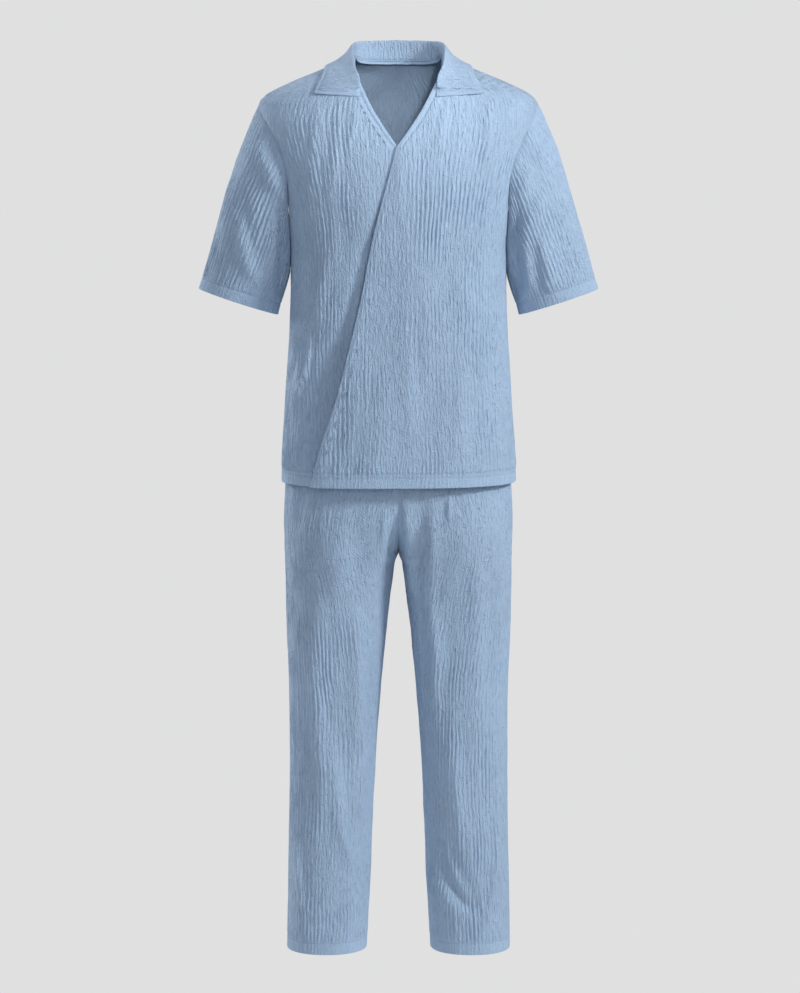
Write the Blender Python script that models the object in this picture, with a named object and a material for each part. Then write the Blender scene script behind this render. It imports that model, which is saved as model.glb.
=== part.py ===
"""Lounge set in crinkled cloth: a short-sleeved pullover with an open collar and a slanting wrapped front,
worn over straight-legged trousers. Both garments are hollow and keep the shape of the figure inside.

The frame: +Z is up, -Y is the front, +X is the wearer's left. The origin lies between the two points
where the neckline meets the shoulder seams. Tables are in millimetres, everything else in metres.
"""
import math

import bpy
import numpy as np
from mathutils import Vector

MM = 0.001
SET_NAME = "lounge_set"
WALL = 1.5 * MM
SEAM_GAP = 0.3 * MM
UP = Vector((0, 0, 1))
FULL_TURN = 2 * math.pi
QUARTER = math.pi / 2

# How finely each piece is divided.
ARMHOLE_ROWS = 12
NECK_ROWS_FRONT = 6
NECK_ROWS_BACK = 4
BODY_ROWS = 12
FRONT_COLUMNS = 11
BACK_COLUMNS = 9
SLEEVE_RINGS = 9
SEAT_ROWS = 9
LEG_ROWS = 13
LEG_COLUMNS = 8
WAISTBAND_SIDES = 40
WAISTBAND_ROWS = 2
COLLAR_STATIONS = 15

# Heights that several pieces share, in millimetres.
SIDE_NECK = 2
SHOULDER_POINT = -76
ARMPIT = -322
PULLOVER_HEM_FRONT = -703
PULLOVER_HEM_SIDE = -700
NECK_POINT_OF_V = (-2, -146)
WAIST_TOP = -517
WAIST_SEAM = -552
CROTCH = -824
TROUSER_HEM = -1498


class Table:
    """Rows with named columns and a smooth curve through each column, read at any value of the first one."""

    def __init__(self, columns, rows):
        self.columns = columns
        self.values = np.array(sorted(rows), dtype=float)

    def at(self, key):
        """Every column's value at one key, on a curve that never swings past its rows."""
        keys = self.values[:, 0]
        key = min(max(key, keys[0]), keys[-1])
        low = int(min(np.searchsorted(keys, key, side="right") - 1, len(keys) - 2))
        span = keys[low + 1] - keys[low]
        along = (key - keys[low]) / span
        start, end = self.values[low], self.values[low + 1]
        lean_in = self.slope(low) * span
        lean_out = self.slope(low + 1) * span
        blend = along * along * (3 - 2 * along)
        bend_in = along * (1 - along) ** 2
        bend_out = along * along * (along - 1)
        row = start + (end - start) * blend + lean_in * bend_in + lean_out * bend_out
        return dict(zip(self.columns, row))

    def slope(self, index):
        """The curve's slope at a row: the harmonic mean of the two next to it, and flat at a turn."""
        if index == 0 or index == len(self.values) - 1:
            inner = 1 if index == 0 else index
            step = self.values[inner] - self.values[inner - 1]
            return step / step[0]
        before = self.values[index] - self.values[index - 1]
        after = self.values[index + 1] - self.values[index]
        left = before / before[0]
        right = after / after[0]
        product = left * right
        total = left + right
        safe = np.where(total == 0, 1, total)
        return np.where(product > 0, 2 * product / safe, 0)


# The pullover's level sections. roundness is the power of the oval: 2 is an ellipse, more is squarer.
TORSO = Table(
    ("height", "half_width", "front", "back", "middle", "roundness"), [
        (2, 73, 46, 64, 0, 2.2),
        (-10, 106, 62, 78, 0, 2.2),
        (-24, 141, 74, 90, -1, 2.2),
        (-43, 186, 87, 101, -2, 2.25),
        (-62, 221, 97, 109, -3, 2.3),
        (-76, 231, 103, 113, -4, 2.3),
        (-100, 233, 109, 117, -6, 2.35),
        (-146, 222, 117, 121, -8, 2.4),
        (-182, 209, 121, 122, -10, 2.45),
        (-260, 189, 124, 121, -14, 2.5),
        (-322, 179.5, 125, 118, -15, 2.5),
        (-380, 178.6, 125, 116, -15, 2.5),
        (-441, 180.4, 125, 116, -15, 2.5),
        (-521, 185.7, 125, 121, -15, 2.5),
        (-602, 191, 125, 130, -14, 2.5),
        (-672, 195.5, 125, 136.4, -13, 2.5),
        (-704, 196, 126, 138.4, -13, 2.5),
    ])

# The neckline and the V, from the shoulder seam to the V's point: the same on both sides.
V_EDGE = Table(("step", "x", "height"), [
    (0, 73, 2), (1, 71, -19), (2, 62.5, -40), (3, 54, -57), (4, 41, -82), (5, 20, -115), (6, -2, -146)])

# The back neckline, from the shoulder seam to the middle of the back.
BACK_NECK = Table(("step", "x", "height"), [(0, 73, 2), (1, 66, -2), (2, 48, -4.5), (3, 25, -5), (4, 0, -5)])

# The free edge of the wrapped front, from the V's point to the hem.
WRAP_EDGE = Table(("height", "x"), [
    (-146, -2), (-195, -15), (-240, -27), (-295, -41), (-394, -60), (-488, -82), (-562, -101), (-638, -125),
    (-704, -144)])

# Armhole seams from the shoulder point to the armpit: where each lies in front and behind.
ARMHOLE = Table(("height", "front_x", "back_x"), [
    (-76, 231, 231), (-93, 225.5, 228), (-114, 213, 221), (-146, 199.5, 208), (-172, 189, 199), (-196, 183.5, 193),
    (-225, 181, 187.5), (-262, 180, 182.5), (-297, 179.3, 180.3), (-322, 179.5, 179.5)])

# The seat and the legs. outer and inner are the edges of one leg, and inner counts below the crotch only.
LEGS = Table(
    ("height", "outer", "inner", "front", "back", "middle", "roundness"), [
        (-517, 160, 0, 100, 104, -9, 2.3),
        (-552, 165, 0, 104, 108, -8, 2.3),
        (-620, 178, 0, 109, 117, -7, 2.35),
        (-704, 188, 0, 112, 123, -6, 2.4),
        (-770, 190.8, 0, 112, 125, -4, 2.4),
        (-824, 189.6, 0.6, 108, 119, -2, 2.35),
        (-838, 189.4, 5.9, 105, 115, -2, 2.3),
        (-872, 189.2, 10.5, 98, 107, -1, 2.25),
        (-906, 188.8, 15.2, 92, 100, 0, 2.2),
        (-974, 187.3, 22.8, 84, 90, 0, 2.2),
        (-1077, 184.3, 32.1, 77, 82, 0, 2.2),
        (-1180, 183.8, 39.3, 74, 78, 0, 2.2),
        (-1283, 185.1, 44.5, 73, 76, 0, 2.2),
        (-1387, 187.1, 48.5, 73, 75, 0, 2.2),
        (-1498, 190, 54, 74, 75, 0, 2.2),
    ])
CROTCH_CURVE = {"front": 150, "back": 190}
CROTCH_POWER = 1.5

# A sleeve's open end, worn at the elbow: the middle of the oval, its half sizes and how far it tilts.
CUFF = {"x": 267, "middle": 2, "height": -402, "half_width": 69.5, "half_depth": 54, "tilt": 18.2}
SLEEVE_CLEARANCE = 1.4 * MM

# Where the sleeve turns sharply off the body its seam lies above the body's face, by this many seam gaps.
SEAM_LIFT_FLUSH = 0.6
SEAM_LIFT_FACING = 1.6
SLEEVE_SWELL = {"outer": 48, "side": 40, "under": 24}

# The collar, from the middle of the back to the point at the front: where it is sewn on, how far it
# stands up, how sharply it falls from its roll, and where its outer edge lies on the body.
COLLAR = Table(
    ("step", "neck_x", "neck_height", "neck_side", "stand", "curl", "edge_x", "edge_height", "edge_side"), [
        (0, 0, -5, 1, 34, 1.2, 0, -17, 1),
        (1, 48, -4.5, 1, 32, 1.3, 66, -18, 1),
        (2, 66, -2, 1, 28, 1.8, 99, -16, 0.6),
        (3, 73, 2, 0, 19, 2.5, 113, -13, 0),
        (4, 71, -19, -1, 10, 3, 124, -34, -1),
        (5, 63.5, -38, -1, 6, 3, 131, -48, -1),
        (6, 62, -64, -1, 0.6, 3, 136, -60, -1),
    ])
COLLAR_LAY = 2.4 * MM
COLLAR_SEAT = 0.85 * MM
COLLAR_ROLL = 3.4 * MM

# The collar lies flat where its stand is lower than the first of these, and wholly flat at the second.
COLLAR_RISES = 5
COLLAR_IS_FLAT = 0.6
COLLAR_FALL_STEPS = 5

# Large soft folds: start, end, half width and height, in millimetres, a trough being lower than nothing.
# side is -1 on the front and 1 on the back.
PULLOVER_FOLDS = [
    ("side", "x", "height", "end_x", "end_height", "half_width", "rise"),
    (-1, -104, -478, -158, -640, 22, -8),
    (-1, -148, -452, -176, -590, 13, 4),
    (-1, 120, -250, 60, -420, 26, -3),
    (-1, -110, -230, -80, -330, 24, -3),
    (-1, 150, -420, 120, -640, 24, -3.5),
    (-1, 60, -500, 45, -690, 22, -3),
    (-1, -20, -520, -40, -690, 20, 3),
    (1, 60, -330, 80, -560, 26, -4),
    (1, -75, -300, -60, -520, 26, -4),
    (1, 0, -180, 10, -330, 28, -3),
    (1, 150, -250, 110, -380, 22, -4),
    (1, -150, -240, -115, -390, 22, -4),
]
TROUSER_FOLDS = [
    ("side", "x", "height", "end_x", "end_height", "half_width", "rise"),
    (-1, 44, -725, 48, -960, 15, -5),
    (-1, 150, -850, 140, -1080, 20, -3),
    (-1, 84, -1310, 132, -1425, 15, -6),
    (-1, 168, -1230, 160, -1400, 11, 4),
    (-1, -150, -860, -135, -1060, 20, -3),
    (-1, -172, -1270, -160, -1440, 11, 4),
    (-1, -80, -1390, -130, -1450, 16, -5),
    (-1, -60, -760, -70, -930, 16, -4),
    (1, 70, -830, 150, -900, 18, -6),
    (1, -70, -835, -150, -905, 18, -6),
    (1, 100, -1120, 150, -1190, 18, -5),
    (1, -105, -1130, -155, -1200, 18, -5),
    (1, 110, -1330, 130, -1440, 18, -4),
    (1, -110, -1340, -130, -1440, 18, -4),
]
FOLDS_BEGIN = -150
FOLDS_ARE_FULL = -230

# Where the fronts overlap, the one on top is raised and the one under it is lowered. All in millimetres.
WRAP_BEGINS = -100
LIFT_OF_WRAP = 2.4
LIFT_OF_LOW_EDGE = 2
WRAP_LIFT_WIDTH = 70
DIP_UNDER_WRAP = 1.6
WRAP_BLEND = 60
UNDERLAP_AT_HEM = 66

# The hollow that the under front has beside the free edge of the other one.
WRAP_HOLLOW = Table(("height", "depth", "half_width"), [
    (-146, 0, 10), (-190, 2, 16), (-350, 4.5, 20), (-480, 8, 24), (-640, 8, 26), (-704, 6, 24)])
HOLLOW_FROM_EDGE = 12


def smooth_step(low, high, value):
    """0 below low, 1 above high, and a soft curve between."""
    along = min(max((value - low) / (high - low), 0), 1)
    return along * along * (3 - 2 * along)


def mix(first, second, share):
    return first + (second - first) * share


def oval_point(oval, angle, height):
    """A point on a level oval; angle 0 faces the front, a quarter turn is the wearer's left."""
    power = 2 / oval["roundness"]
    sideways = math.copysign(abs(math.sin(angle)) ** power, math.sin(angle))
    forward = math.copysign(abs(math.cos(angle)) ** power, math.cos(angle))
    depth = oval["front"] if forward > 0 else oval["back"]
    return Vector((oval["centre"] + oval["half_width"] * sideways, oval["middle"] - depth * forward, height)) * MM


def oval_angle(oval, x, side):
    """The angle at which the oval is x from its centre, on the front (side -1) or the back (side 1)."""
    share = min(abs(x - oval["centre"]) / oval["half_width"], 1)
    angle = math.copysign(math.asin(share ** (oval["roundness"] / 2)), x - oval["centre"])
    return math.copysign(math.pi, x - oval["centre"]) - angle if side > 0 else angle


def oval_measure(oval, point):
    """1 on the oval, less inside it and more outside."""
    depth = oval["front"] if point.y / MM < oval["middle"] else oval["back"]
    across = abs(point.x / MM - oval["centre"]) / oval["half_width"]
    along = abs(point.y / MM - oval["middle"]) / depth
    return across ** oval["roundness"] + along ** oval["roundness"]


def outward(section, point):
    """The direction square to a body made of level ovals, out of the cloth."""
    step = 0.05 * MM
    height = point.z / MM
    oval = section(height)
    slope = Vector((0, 0, 0))
    for axis in (Vector((step, 0, 0)), Vector((0, step, 0))):
        slope += axis * (oval_measure(oval, point + axis) - oval_measure(oval, point - axis))
    rise = oval_measure(section(height + 0.5), point) - oval_measure(section(height - 0.5), point)
    slope += Vector((0, 0, step * rise * 2 * step / MM))
    return slope.normalized()


def torso_oval(height):
    oval = TORSO.at(height)
    oval["centre"] = 0
    return oval


def leg_oval(height, side, face):
    """The oval of one leg. Above the crotch it opens towards the middle of the seat, where it is half a body."""
    oval = LEGS.at(height)
    if height < CROTCH:
        centre = (oval["outer"] + oval["inner"]) / 2
        half_width = (oval["outer"] - oval["inner"]) / 2
    else:
        opening = min((height - CROTCH) / CROTCH_CURVE[face], 1) ** CROTCH_POWER
        centre = oval["outer"] / 2 * (1 - opening)
        half_width = oval["outer"] / 2 * (1 + opening)
    oval["centre"] = side * centre
    oval["half_width"] = half_width
    return oval


def seat_oval(height):
    """The seat's whole oval above the crotch curve."""
    oval = LEGS.at(height)
    oval["centre"] = 0
    oval["half_width"] = oval["outer"]
    return oval


def fold_lines(rows, section):
    """Each fold as two points on the body, a half width and a height."""
    names = rows[0]
    lines = []
    for row in rows[1:]:
        fold = dict(zip(names, row))
        ends = []
        for x, height in ((fold["x"], fold["height"]), (fold["end_x"], fold["end_height"])):
            oval = section(height, x)
            ends.append(oval_point(oval, oval_angle(oval, x, fold["side"]), height))
        lines.append((ends[0], ends[1], fold["half_width"] * MM, fold["rise"] * MM))
    return lines


def relief(point, lines):
    """How far the folds raise the cloth at a point."""
    total = 0
    for start, end, half_width, rise in lines:
        run = end - start
        along = min(max((point - start).dot(run) / run.length_squared, 0), 1)
        away = (point - start - run * along).length / half_width
        ends = math.sin(math.pi * min(max(along, 0.02), 0.98)) ** 0.5
        total += rise * ends * math.exp(-away * away)
    return total


PULLOVER_LINES = fold_lines(PULLOVER_FOLDS, lambda height, x: torso_oval(height))
TROUSER_LINES = fold_lines(
    TROUSER_FOLDS, lambda height, x: leg_oval(height, math.copysign(1, x), "front"))


def wrap_lift(point, layer):
    """How far a front is moved where the two overlap: up for the one on top, down for the one under it."""
    height = point.z / MM
    if layer is None or point.y > 0:
        return 0
    beyond = point.x / MM - WRAP_EDGE.at(height)["x"]
    started = smooth_step(WRAP_BEGINS, NECK_POINT_OF_V[1], height) * MM
    if layer == "over":
        low = smooth_step(-330, -560, height) * (1 - smooth_step(6, 60, beyond))
        lift = LIFT_OF_WRAP * (1 - smooth_step(WRAP_LIFT_WIDTH, WRAP_LIFT_WIDTH + WRAP_BLEND, beyond))
        return started * (lift + LIFT_OF_LOW_EDGE * low)
    hollow = WRAP_HOLLOW.at(height)
    away = min(beyond + HOLLOW_FROM_EDGE, 0) / hollow["half_width"]
    dip = DIP_UNDER_WRAP * smooth_step(-WRAP_BLEND / 2, 0, beyond)
    return -started * (dip + hollow["depth"] * math.exp(-away * away))


def torso_surface(angle, height, layer=None, lift=0.0):
    """A point of the pullover's outer face and the direction out of the cloth there."""
    bare = oval_point(torso_oval(height), angle, height)
    normal = outward(torso_oval, bare)
    fade = smooth_step(FOLDS_BEGIN, FOLDS_ARE_FULL, height)
    raised = relief(bare, PULLOVER_LINES) * fade + wrap_lift(bare, layer) + lift
    return bare + normal * raised, normal


def trim(points, edges, amount=SEAM_GAP / 2):
    """Draws the named edges of a grid of (point, normal) pairs back along the cloth, for a seam's gap."""
    last_row = len(points) - 1
    last_column = len(points[0]) - 1
    for edge in edges:
        for row in range(last_row + 1):
            for column in range(last_column + 1):
                target = None
                if edge == "first_column" and column == 0:
                    target = (row, 1)
                if edge == "last_column" and column == last_column:
                    target = (row, last_column - 1)
                if edge == "first_row" and row == 0:
                    target = (1, column)
                if edge == "last_row" and row == last_row:
                    target = (last_row - 1, column)
                if target:
                    point, normal = points[row][column]
                    inward = (points[target[0]][target[1]][0] - point).normalized()
                    points[row][column] = (point + inward * amount, normal)
    return points


def grid_faces(rows, columns, closed=False):
    """Quads over a grid of points numbered row by row; a closed grid joins its last column to its first."""
    faces = []
    for row in range(rows - 1):
        for column in range(columns if closed else columns - 1):
            beside = (column + 1) % columns
            faces.append((row * columns + column, (row + 1) * columns + column,
                          (row + 1) * columns + beside, row * columns + beside))
    return faces


def cloth(name, surface, faces, collection, colour, wall=WALL):
    """One closed piece of cloth: its outer face, the same face moved in by the wall, and the edges between.

    Both faces use the body's own directions, so that two pieces meet squarely at their seam.
    """
    count = len(surface)
    points = [point for point, normal in surface]
    points += [point - normal * wall for point, normal in surface]
    skin = list(faces)
    skin += [tuple(corner + count for corner in reversed(face)) for face in faces]
    used = {(face[k], face[(k + 1) % len(face)]) for face in faces for k in range(len(face))}
    for start, end in sorted(used):
        if (end, start) not in used:
            skin.append((end, start, start + count, end + count))
    mesh = bpy.data.meshes.new(name)
    mesh.from_pydata(points, [], skin)
    mesh.update()
    mesh.shade_smooth()
    mesh.set_sharp_from_angle(angle=math.radians(50))
    piece = bpy.data.objects.new(name, mesh)
    piece.data.materials.append(crinkle_cloth(name, colour))
    collection.objects.link(piece)
    return piece


def crinkle_cloth(name, colour):
    """A matt woven cloth in one colour."""
    material = bpy.data.materials.new(name + "_cloth")
    material.use_nodes = True
    shader = material.node_tree.nodes["Principled BSDF"]
    shader.inputs["Base Color"].default_value = (*colour, 1)
    shader.inputs["Roughness"].default_value = 0.85
    shader.inputs["Metallic"].default_value = 0
    return material


def armhole_heights():
    """Heights of the rows that end on the armhole, evenly spaced along its front seam."""
    samples = [SHOULDER_POINT + (ARMPIT - SHOULDER_POINT) * k / 200 for k in range(201)]
    points = []
    for height in samples:
        oval = torso_oval(height)
        points.append(oval_point(oval, oval_angle(oval, ARMHOLE.at(height)["front_x"], -1), height))
    lengths = [0.0]
    for before, after in zip(points, points[1:]):
        lengths.append(lengths[-1] + (after - before).length)
    wanted = [lengths[-1] * k / ARMHOLE_ROWS for k in range(ARMHOLE_ROWS + 1)]
    return [float(np.interp(length, lengths, samples)) for length in wanted]


def outer_edge(side):
    """Angle and height of each row's outer end: along the armhole, then down the side seam."""
    edge = []
    for height in armhole_heights():
        oval = torso_oval(height)
        x = ARMHOLE.at(height)["front_x" if side < 0 else "back_x"]
        edge.append((abs(oval_angle(oval, x, side)), height))
    edge[0] = (QUARTER, SHOULDER_POINT)
    edge[-1] = (QUARTER, ARMPIT)
    for row in range(1, BODY_ROWS + 1):
        edge.append((QUARTER, mix(ARMPIT, PULLOVER_HEM_SIDE, row / BODY_ROWS)))
    return edge


def neck_edge(table, rows, side):
    """Angle and height of the ends of the first rows, along the neckline."""
    last = table.values[-1][0]
    edge = []
    for row in range(rows + 1):
        place = table.at(last * row / rows)
        oval = torso_oval(place["height"])
        angle = oval_angle(oval, place["x"], side)
        if side > 0 and row == rows:
            angle = math.pi
        edge.append((angle, place["height"]))
    edge[0] = (QUARTER, SIDE_NECK)
    return edge


def inner_edge_front(layer):
    """The neckline and V, then the wrap's slanting edge, or the hidden edge of the front under it."""
    edge = neck_edge(V_EDGE, NECK_ROWS_FRONT, -1)
    rows = ARMHOLE_ROWS + BODY_ROWS - NECK_ROWS_FRONT
    top = NECK_POINT_OF_V[1]
    for row in range(1, rows + 1):
        share = row / rows
        height = mix(top, PULLOVER_HEM_FRONT, share)
        x = WRAP_EDGE.at(height)["x"]
        if layer == "under":
            x += UNDERLAP_AT_HEM * share
        oval = torso_oval(height)
        edge.append((oval_angle(oval, x, -1), height))
    return edge


def mirrored_v_edge():
    """The neckline and V on the wearer's right, which ends at the same point as the one on the left."""
    edge = []
    for step in range(NECK_ROWS_FRONT + 1):
        place = V_EDGE.at(step)
        x = 2 * NECK_POINT_OF_V[0] * smooth_step(0, NECK_ROWS_FRONT, step) - place["x"]
        angle = oval_angle(torso_oval(place["height"]), x, -1) if step else -QUARTER
        edge.append((angle, place["height"]))
    return edge


def front(name, side, layer, collection, colour):
    """One front, between its free edge and the armhole and side seam."""
    rows = []
    inner = inner_edge_front(layer)
    if side < 0:
        inner = mirrored_v_edge() + inner[NECK_ROWS_FRONT + 1:]
    for (inner_angle, inner_height), (outer_angle, outer_height) in zip(inner, outer_edge(-1)):
        row = []
        for column in range(FRONT_COLUMNS + 1):
            share = column / FRONT_COLUMNS
            angle = mix(inner_angle, side * outer_angle, share)
            height = mix(inner_height, outer_height, share)
            row.append(torso_surface(angle, height, layer))
        rows.append(row)
    trim(rows, ["last_column", "first_row"])
    if side < 0:
        rows = [list(reversed(row)) for row in rows]
    surface = [pair for row in rows for pair in row]
    faces = grid_faces(len(rows), FRONT_COLUMNS + 1)
    return cloth(name, surface, faces, collection, colour)


def back(name, collection, colour):
    """The whole back. Its two halves share the points down the middle, below the neckline."""
    neck = neck_edge(BACK_NECK, NECK_ROWS_BACK, 1)
    outer = outer_edge(1)
    inner = list(neck)
    rows_below = len(outer) - len(neck)
    for row in range(1, rows_below + 1):
        inner.append((math.pi, mix(neck[-1][1], PULLOVER_HEM_SIDE, row / rows_below)))
    half = []
    for (inner_angle, inner_height), (outer_angle, outer_height) in zip(inner, outer):
        row = []
        for column in range(BACK_COLUMNS + 1):
            share = column / BACK_COLUMNS
            angle = mix(inner_angle, outer_angle, share)
            height = mix(inner_height, outer_height, share)
            row.append((angle, height))
        half.append(row)
    surface = []
    index = {}
    for side in (1, -1):
        rows = [[torso_surface(side * angle, height) for angle, height in row] for row in half]
        trim(rows, ["last_column", "first_row"])
        for row, pairs in enumerate(rows):
            for column, pair in enumerate(pairs):
                shared = column == 0 and row >= NECK_ROWS_BACK
                key = (row, column, 0 if shared else side)
                if key not in index:
                    index[key] = len(surface)
                    surface.append(pair)
    faces = []
    for side in (1, -1):
        for row in range(len(half) - 1):
            for column in range(BACK_COLUMNS):
                corners = []
                for down, across in ((0, 0), (0, 1), (1, 1), (1, 0)):
                    place = (row + down, column + across)
                    shared = place[1] == 0 and place[0] >= NECK_ROWS_BACK
                    corners.append(index[(*place, 0 if shared else side)])
                faces.append(tuple(corners) if side > 0 else tuple(reversed(corners)))
    return cloth(name, surface, faces, collection, colour)


def armhole_loop(side):
    """The armhole's points and outward directions, down the front seam and up the back one."""
    heights = armhole_heights()
    front_half = list(zip(outer_edge(-1), heights))[:ARMHOLE_ROWS + 1]
    back_half = list(zip(outer_edge(1), heights))[:ARMHOLE_ROWS + 1]
    loop = []
    for (angle, height), _ in front_half:
        loop.append(torso_surface(side * angle, height))
    for (angle, height), _ in reversed(back_half[1:-1]):
        loop.append(torso_surface(side * angle, height))
    return loop


def sleeve_point(side, share_round, share_down, seam_point):
    """A point of the sleeve's outer face, from its seam point down to the cuff."""
    turn = FULL_TURN * share_round
    tilt = math.radians(CUFF["tilt"])
    out = Vector((side * math.cos(tilt), 0, math.sin(tilt)))
    forward = Vector((0, -1, 0))
    across = math.cos(turn)
    ahead = math.sin(turn)
    middle = Vector((side * CUFF["x"], CUFF["middle"], CUFF["height"])) * MM
    cuff = middle + out * across * CUFF["half_width"] * MM + forward * ahead * CUFF["half_depth"] * MM
    swell = share_down * (1 - share_down) ** 2
    sideways = SLEEVE_SWELL["outer"] if across > 0 else SLEEVE_SWELL["under"]
    bulge = (out * across * sideways + forward * ahead * SLEEVE_SWELL["side"]) * swell * MM
    return seam_point.lerp(cuff, share_down) + bulge


def clear_of_body(point):
    """Moves a point of the sleeve out to its clearance from the pullover's side, below the armpit."""
    wanted = SLEEVE_CLEARANCE * smooth_step(ARMPIT + 60, ARMPIT, point.z / MM)
    if wanted == 0:
        return point
    for _ in range(3):
        direction = outward(torso_oval, point)
        oval = torso_oval(point.z / MM)
        measure = oval_measure(oval, point)
        growth = (oval_measure(oval, point + direction * MM) - measure) / MM
        distance = (measure - 1) / growth
        if distance < wanted:
            point = point + direction * (wanted - distance)
    return point


def sleeve(name, side, collection, colour):
    """A set-in sleeve: rings from the armhole seam to the cuff."""
    loop = armhole_loop(side)
    count = len(loop)
    points = []
    for ring in range(SLEEVE_RINGS + 1):
        down = ring / SLEEVE_RINGS
        ring_points = [sleeve_point(side, k / count, down, loop[k][0]) for k in range(count)]
        points.append([clear_of_body(point) if ring else point for point in ring_points])
    rings = []
    for ring in range(SLEEVE_RINGS + 1):
        row = []
        for k in range(count):
            around = points[ring][(k + 1) % count] - points[ring][k - 1]
            below = points[min(ring + 1, SLEEVE_RINGS)][k]
            above = points[max(ring - 1, 0)][k]
            normal = around.cross(below - above).normalized() * side
            point = points[ring][k]
            if ring == 0:
                body = loop[k][1]
                facing = (1 - normal.dot(body)) / 2
                along = (below - point).normalized()
                point = point + along * SEAM_GAP * (1 - facing) + body * SEAM_GAP * (
                    SEAM_LIFT_FLUSH + SEAM_LIFT_FACING * facing)
                share = smooth_step(0.15, 0.5, facing)
                normal = (body * (1 - share) + normal * (share + 0.001)).normalized()
            row.append((point, normal))
        rings.append(row)
    surface = [pair for row in rings for pair in row]
    faces = grid_faces(len(rings), count, closed=True)
    if side > 0:
        faces = [tuple(reversed(face)) for face in faces]
    return cloth(name, surface, faces, collection, colour)


def collar_half(side):
    """Rows of (point, rough direction) for one half, from the middle of the back to the front point."""
    last = COLLAR.values[-1][0]
    stations = []
    for station in range(COLLAR_STATIONS):
        row = COLLAR.at(last * station / (COLLAR_STATIONS - 1))
        neck_oval = torso_oval(row["neck_height"])
        neck_side = 1 if row["neck_side"] > 0 else -1
        neck_angle = abs(oval_angle(neck_oval, max(row["neck_x"], 1e-6), neck_side))
        edge_oval = torso_oval(row["edge_height"])
        edge_side = 1 if row["edge_side"] > 0 else -1
        edge_angle = abs(oval_angle(edge_oval, max(row["edge_x"], 1e-6), edge_side))
        neck, direction = torso_surface(side * neck_angle, row["neck_height"])
        level = Vector((direction.x, direction.y, 0)).normalized()
        forward = smooth_step(0.2, -1, row["neck_side"])
        rise = UP.lerp(direction, forward).normalized()
        stand = row["stand"] * MM
        foot = neck + direction * COLLAR_SEAT
        flat = smooth_step(COLLAR_RISES, COLLAR_IS_FLAT, row["stand"])
        foot += direction * flat * (COLLAR_LAY - COLLAR_SEAT)
        line = [foot, foot + rise * stand * 0.5, foot + rise * stand]
        for step in range(COLLAR_FALL_STEPS):
            share = step / (COLLAR_FALL_STEPS - 1)
            angle = side * mix(neck_angle, edge_angle, share)
            height = mix(row["neck_height"], row["edge_height"], share)
            base, out = torso_surface(angle, height)
            roll = level * COLLAR_ROLL * (1 - share) * (1 - flat)
            slack = rise * stand * (1 - share) ** row["curl"]
            line.append(base + out * mix(COLLAR_SEAT, COLLAR_LAY, max(smooth_step(0, 0.5, share), flat)) + slack + roll)
        if flat > 0.5:
            start = line[0]
            for k in range(1, 3):
                line[k] = start.lerp(line[4], k / 4)
            line[3] = start.lerp(line[4], 0.75)
        stations.append(line)
    return stations


def collar(name, collection, colour):
    """The whole collar: it stands up from the neckline, rolls over and falls flat on the body."""
    rows = list(reversed(collar_half(-1)))[:-1] + collar_half(1)
    count = len(rows[0])
    grid = []
    for r, line in enumerate(rows):
        row = []
        for c, point in enumerate(line):
            along = rows[min(r + 1, len(rows) - 1)][c] - rows[max(r - 1, 0)][c]
            across = line[min(c + 1, count - 1)] - line[max(c - 1, 0)]
            row.append((point, along.cross(across).normalized()))
        grid.append(row)
    surface = [pair for row in grid for pair in row]
    faces = grid_faces(len(grid), count)
    return cloth(name, surface, faces, collection, colour)


def leg_heights():
    """Heights of a trouser panel's rows: the seat's, then the leg's, closer together next to the crotch."""
    heights = [mix(WAIST_SEAM, CROTCH, (row / SEAT_ROWS) ** 0.8) for row in range(SEAT_ROWS + 1)]
    for row in range(1, LEG_ROWS + 1):
        heights.append(mix(CROTCH, TROUSER_HEM, (row / LEG_ROWS) ** 1.15))
    return heights


def trouser_panel(name, side, face, collection, colour):
    """A front or back of one leg, from the waistband to the hem, between its middle seam and its side seam."""
    ahead = face == "front"
    rows = []
    for height in leg_heights():
        oval = leg_oval(height, side, face)
        start = -QUARTER
        if height > CROTCH:
            share = abs(oval["centre"]) / oval["half_width"]
            start = -math.asin(min(share, 1) ** (oval["roundness"] / 2))
        row = []
        for column in range(LEG_COLUMNS + 1):
            angle = mix(start, QUARTER, column / LEG_COLUMNS)
            turned = side * (angle if ahead else math.pi - angle)
            bare = oval_point(oval, turned, height)
            normal = outward(lambda level: leg_oval(level, side, face), bare)
            fade = smooth_step(-830, -700, height) if face == "back" else 0
            raised = relief(bare, TROUSER_LINES) * (1 - fade)
            point = bare + normal * raised
            point.x = side * max(side * point.x, SEAM_GAP / 2)
            row.append((point, normal))
        rows.append(row)
    trim(rows, ["first_column", "last_column", "first_row"])
    surface = [pair for row in rows for pair in row]
    faces = grid_faces(len(rows), LEG_COLUMNS + 1)
    if (side > 0) != ahead:
        faces = [tuple(reversed(corners)) for corners in faces]
    return cloth(name, surface, faces, collection, colour)


def waistband(name, collection, colour):
    """A plain elastic casing round the waist, above the four trouser panels."""
    rows = []
    for row in range(WAISTBAND_ROWS + 1):
        height = mix(WAIST_TOP, WAIST_SEAM, row / WAISTBAND_ROWS)
        oval = seat_oval(height)
        ring = []
        for step in range(WAISTBAND_SIDES):
            bare = oval_point(oval, FULL_TURN * step / WAISTBAND_SIDES, height)
            ring.append((bare, outward(seat_oval, bare)))
        rows.append(ring)
    trim(rows, ["last_row"])
    surface = [pair for row in rows for pair in row]
    faces = grid_faces(len(rows), WAISTBAND_SIDES, closed=True)
    return cloth(name, surface, faces, collection, colour, wall=2 * WALL)


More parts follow.
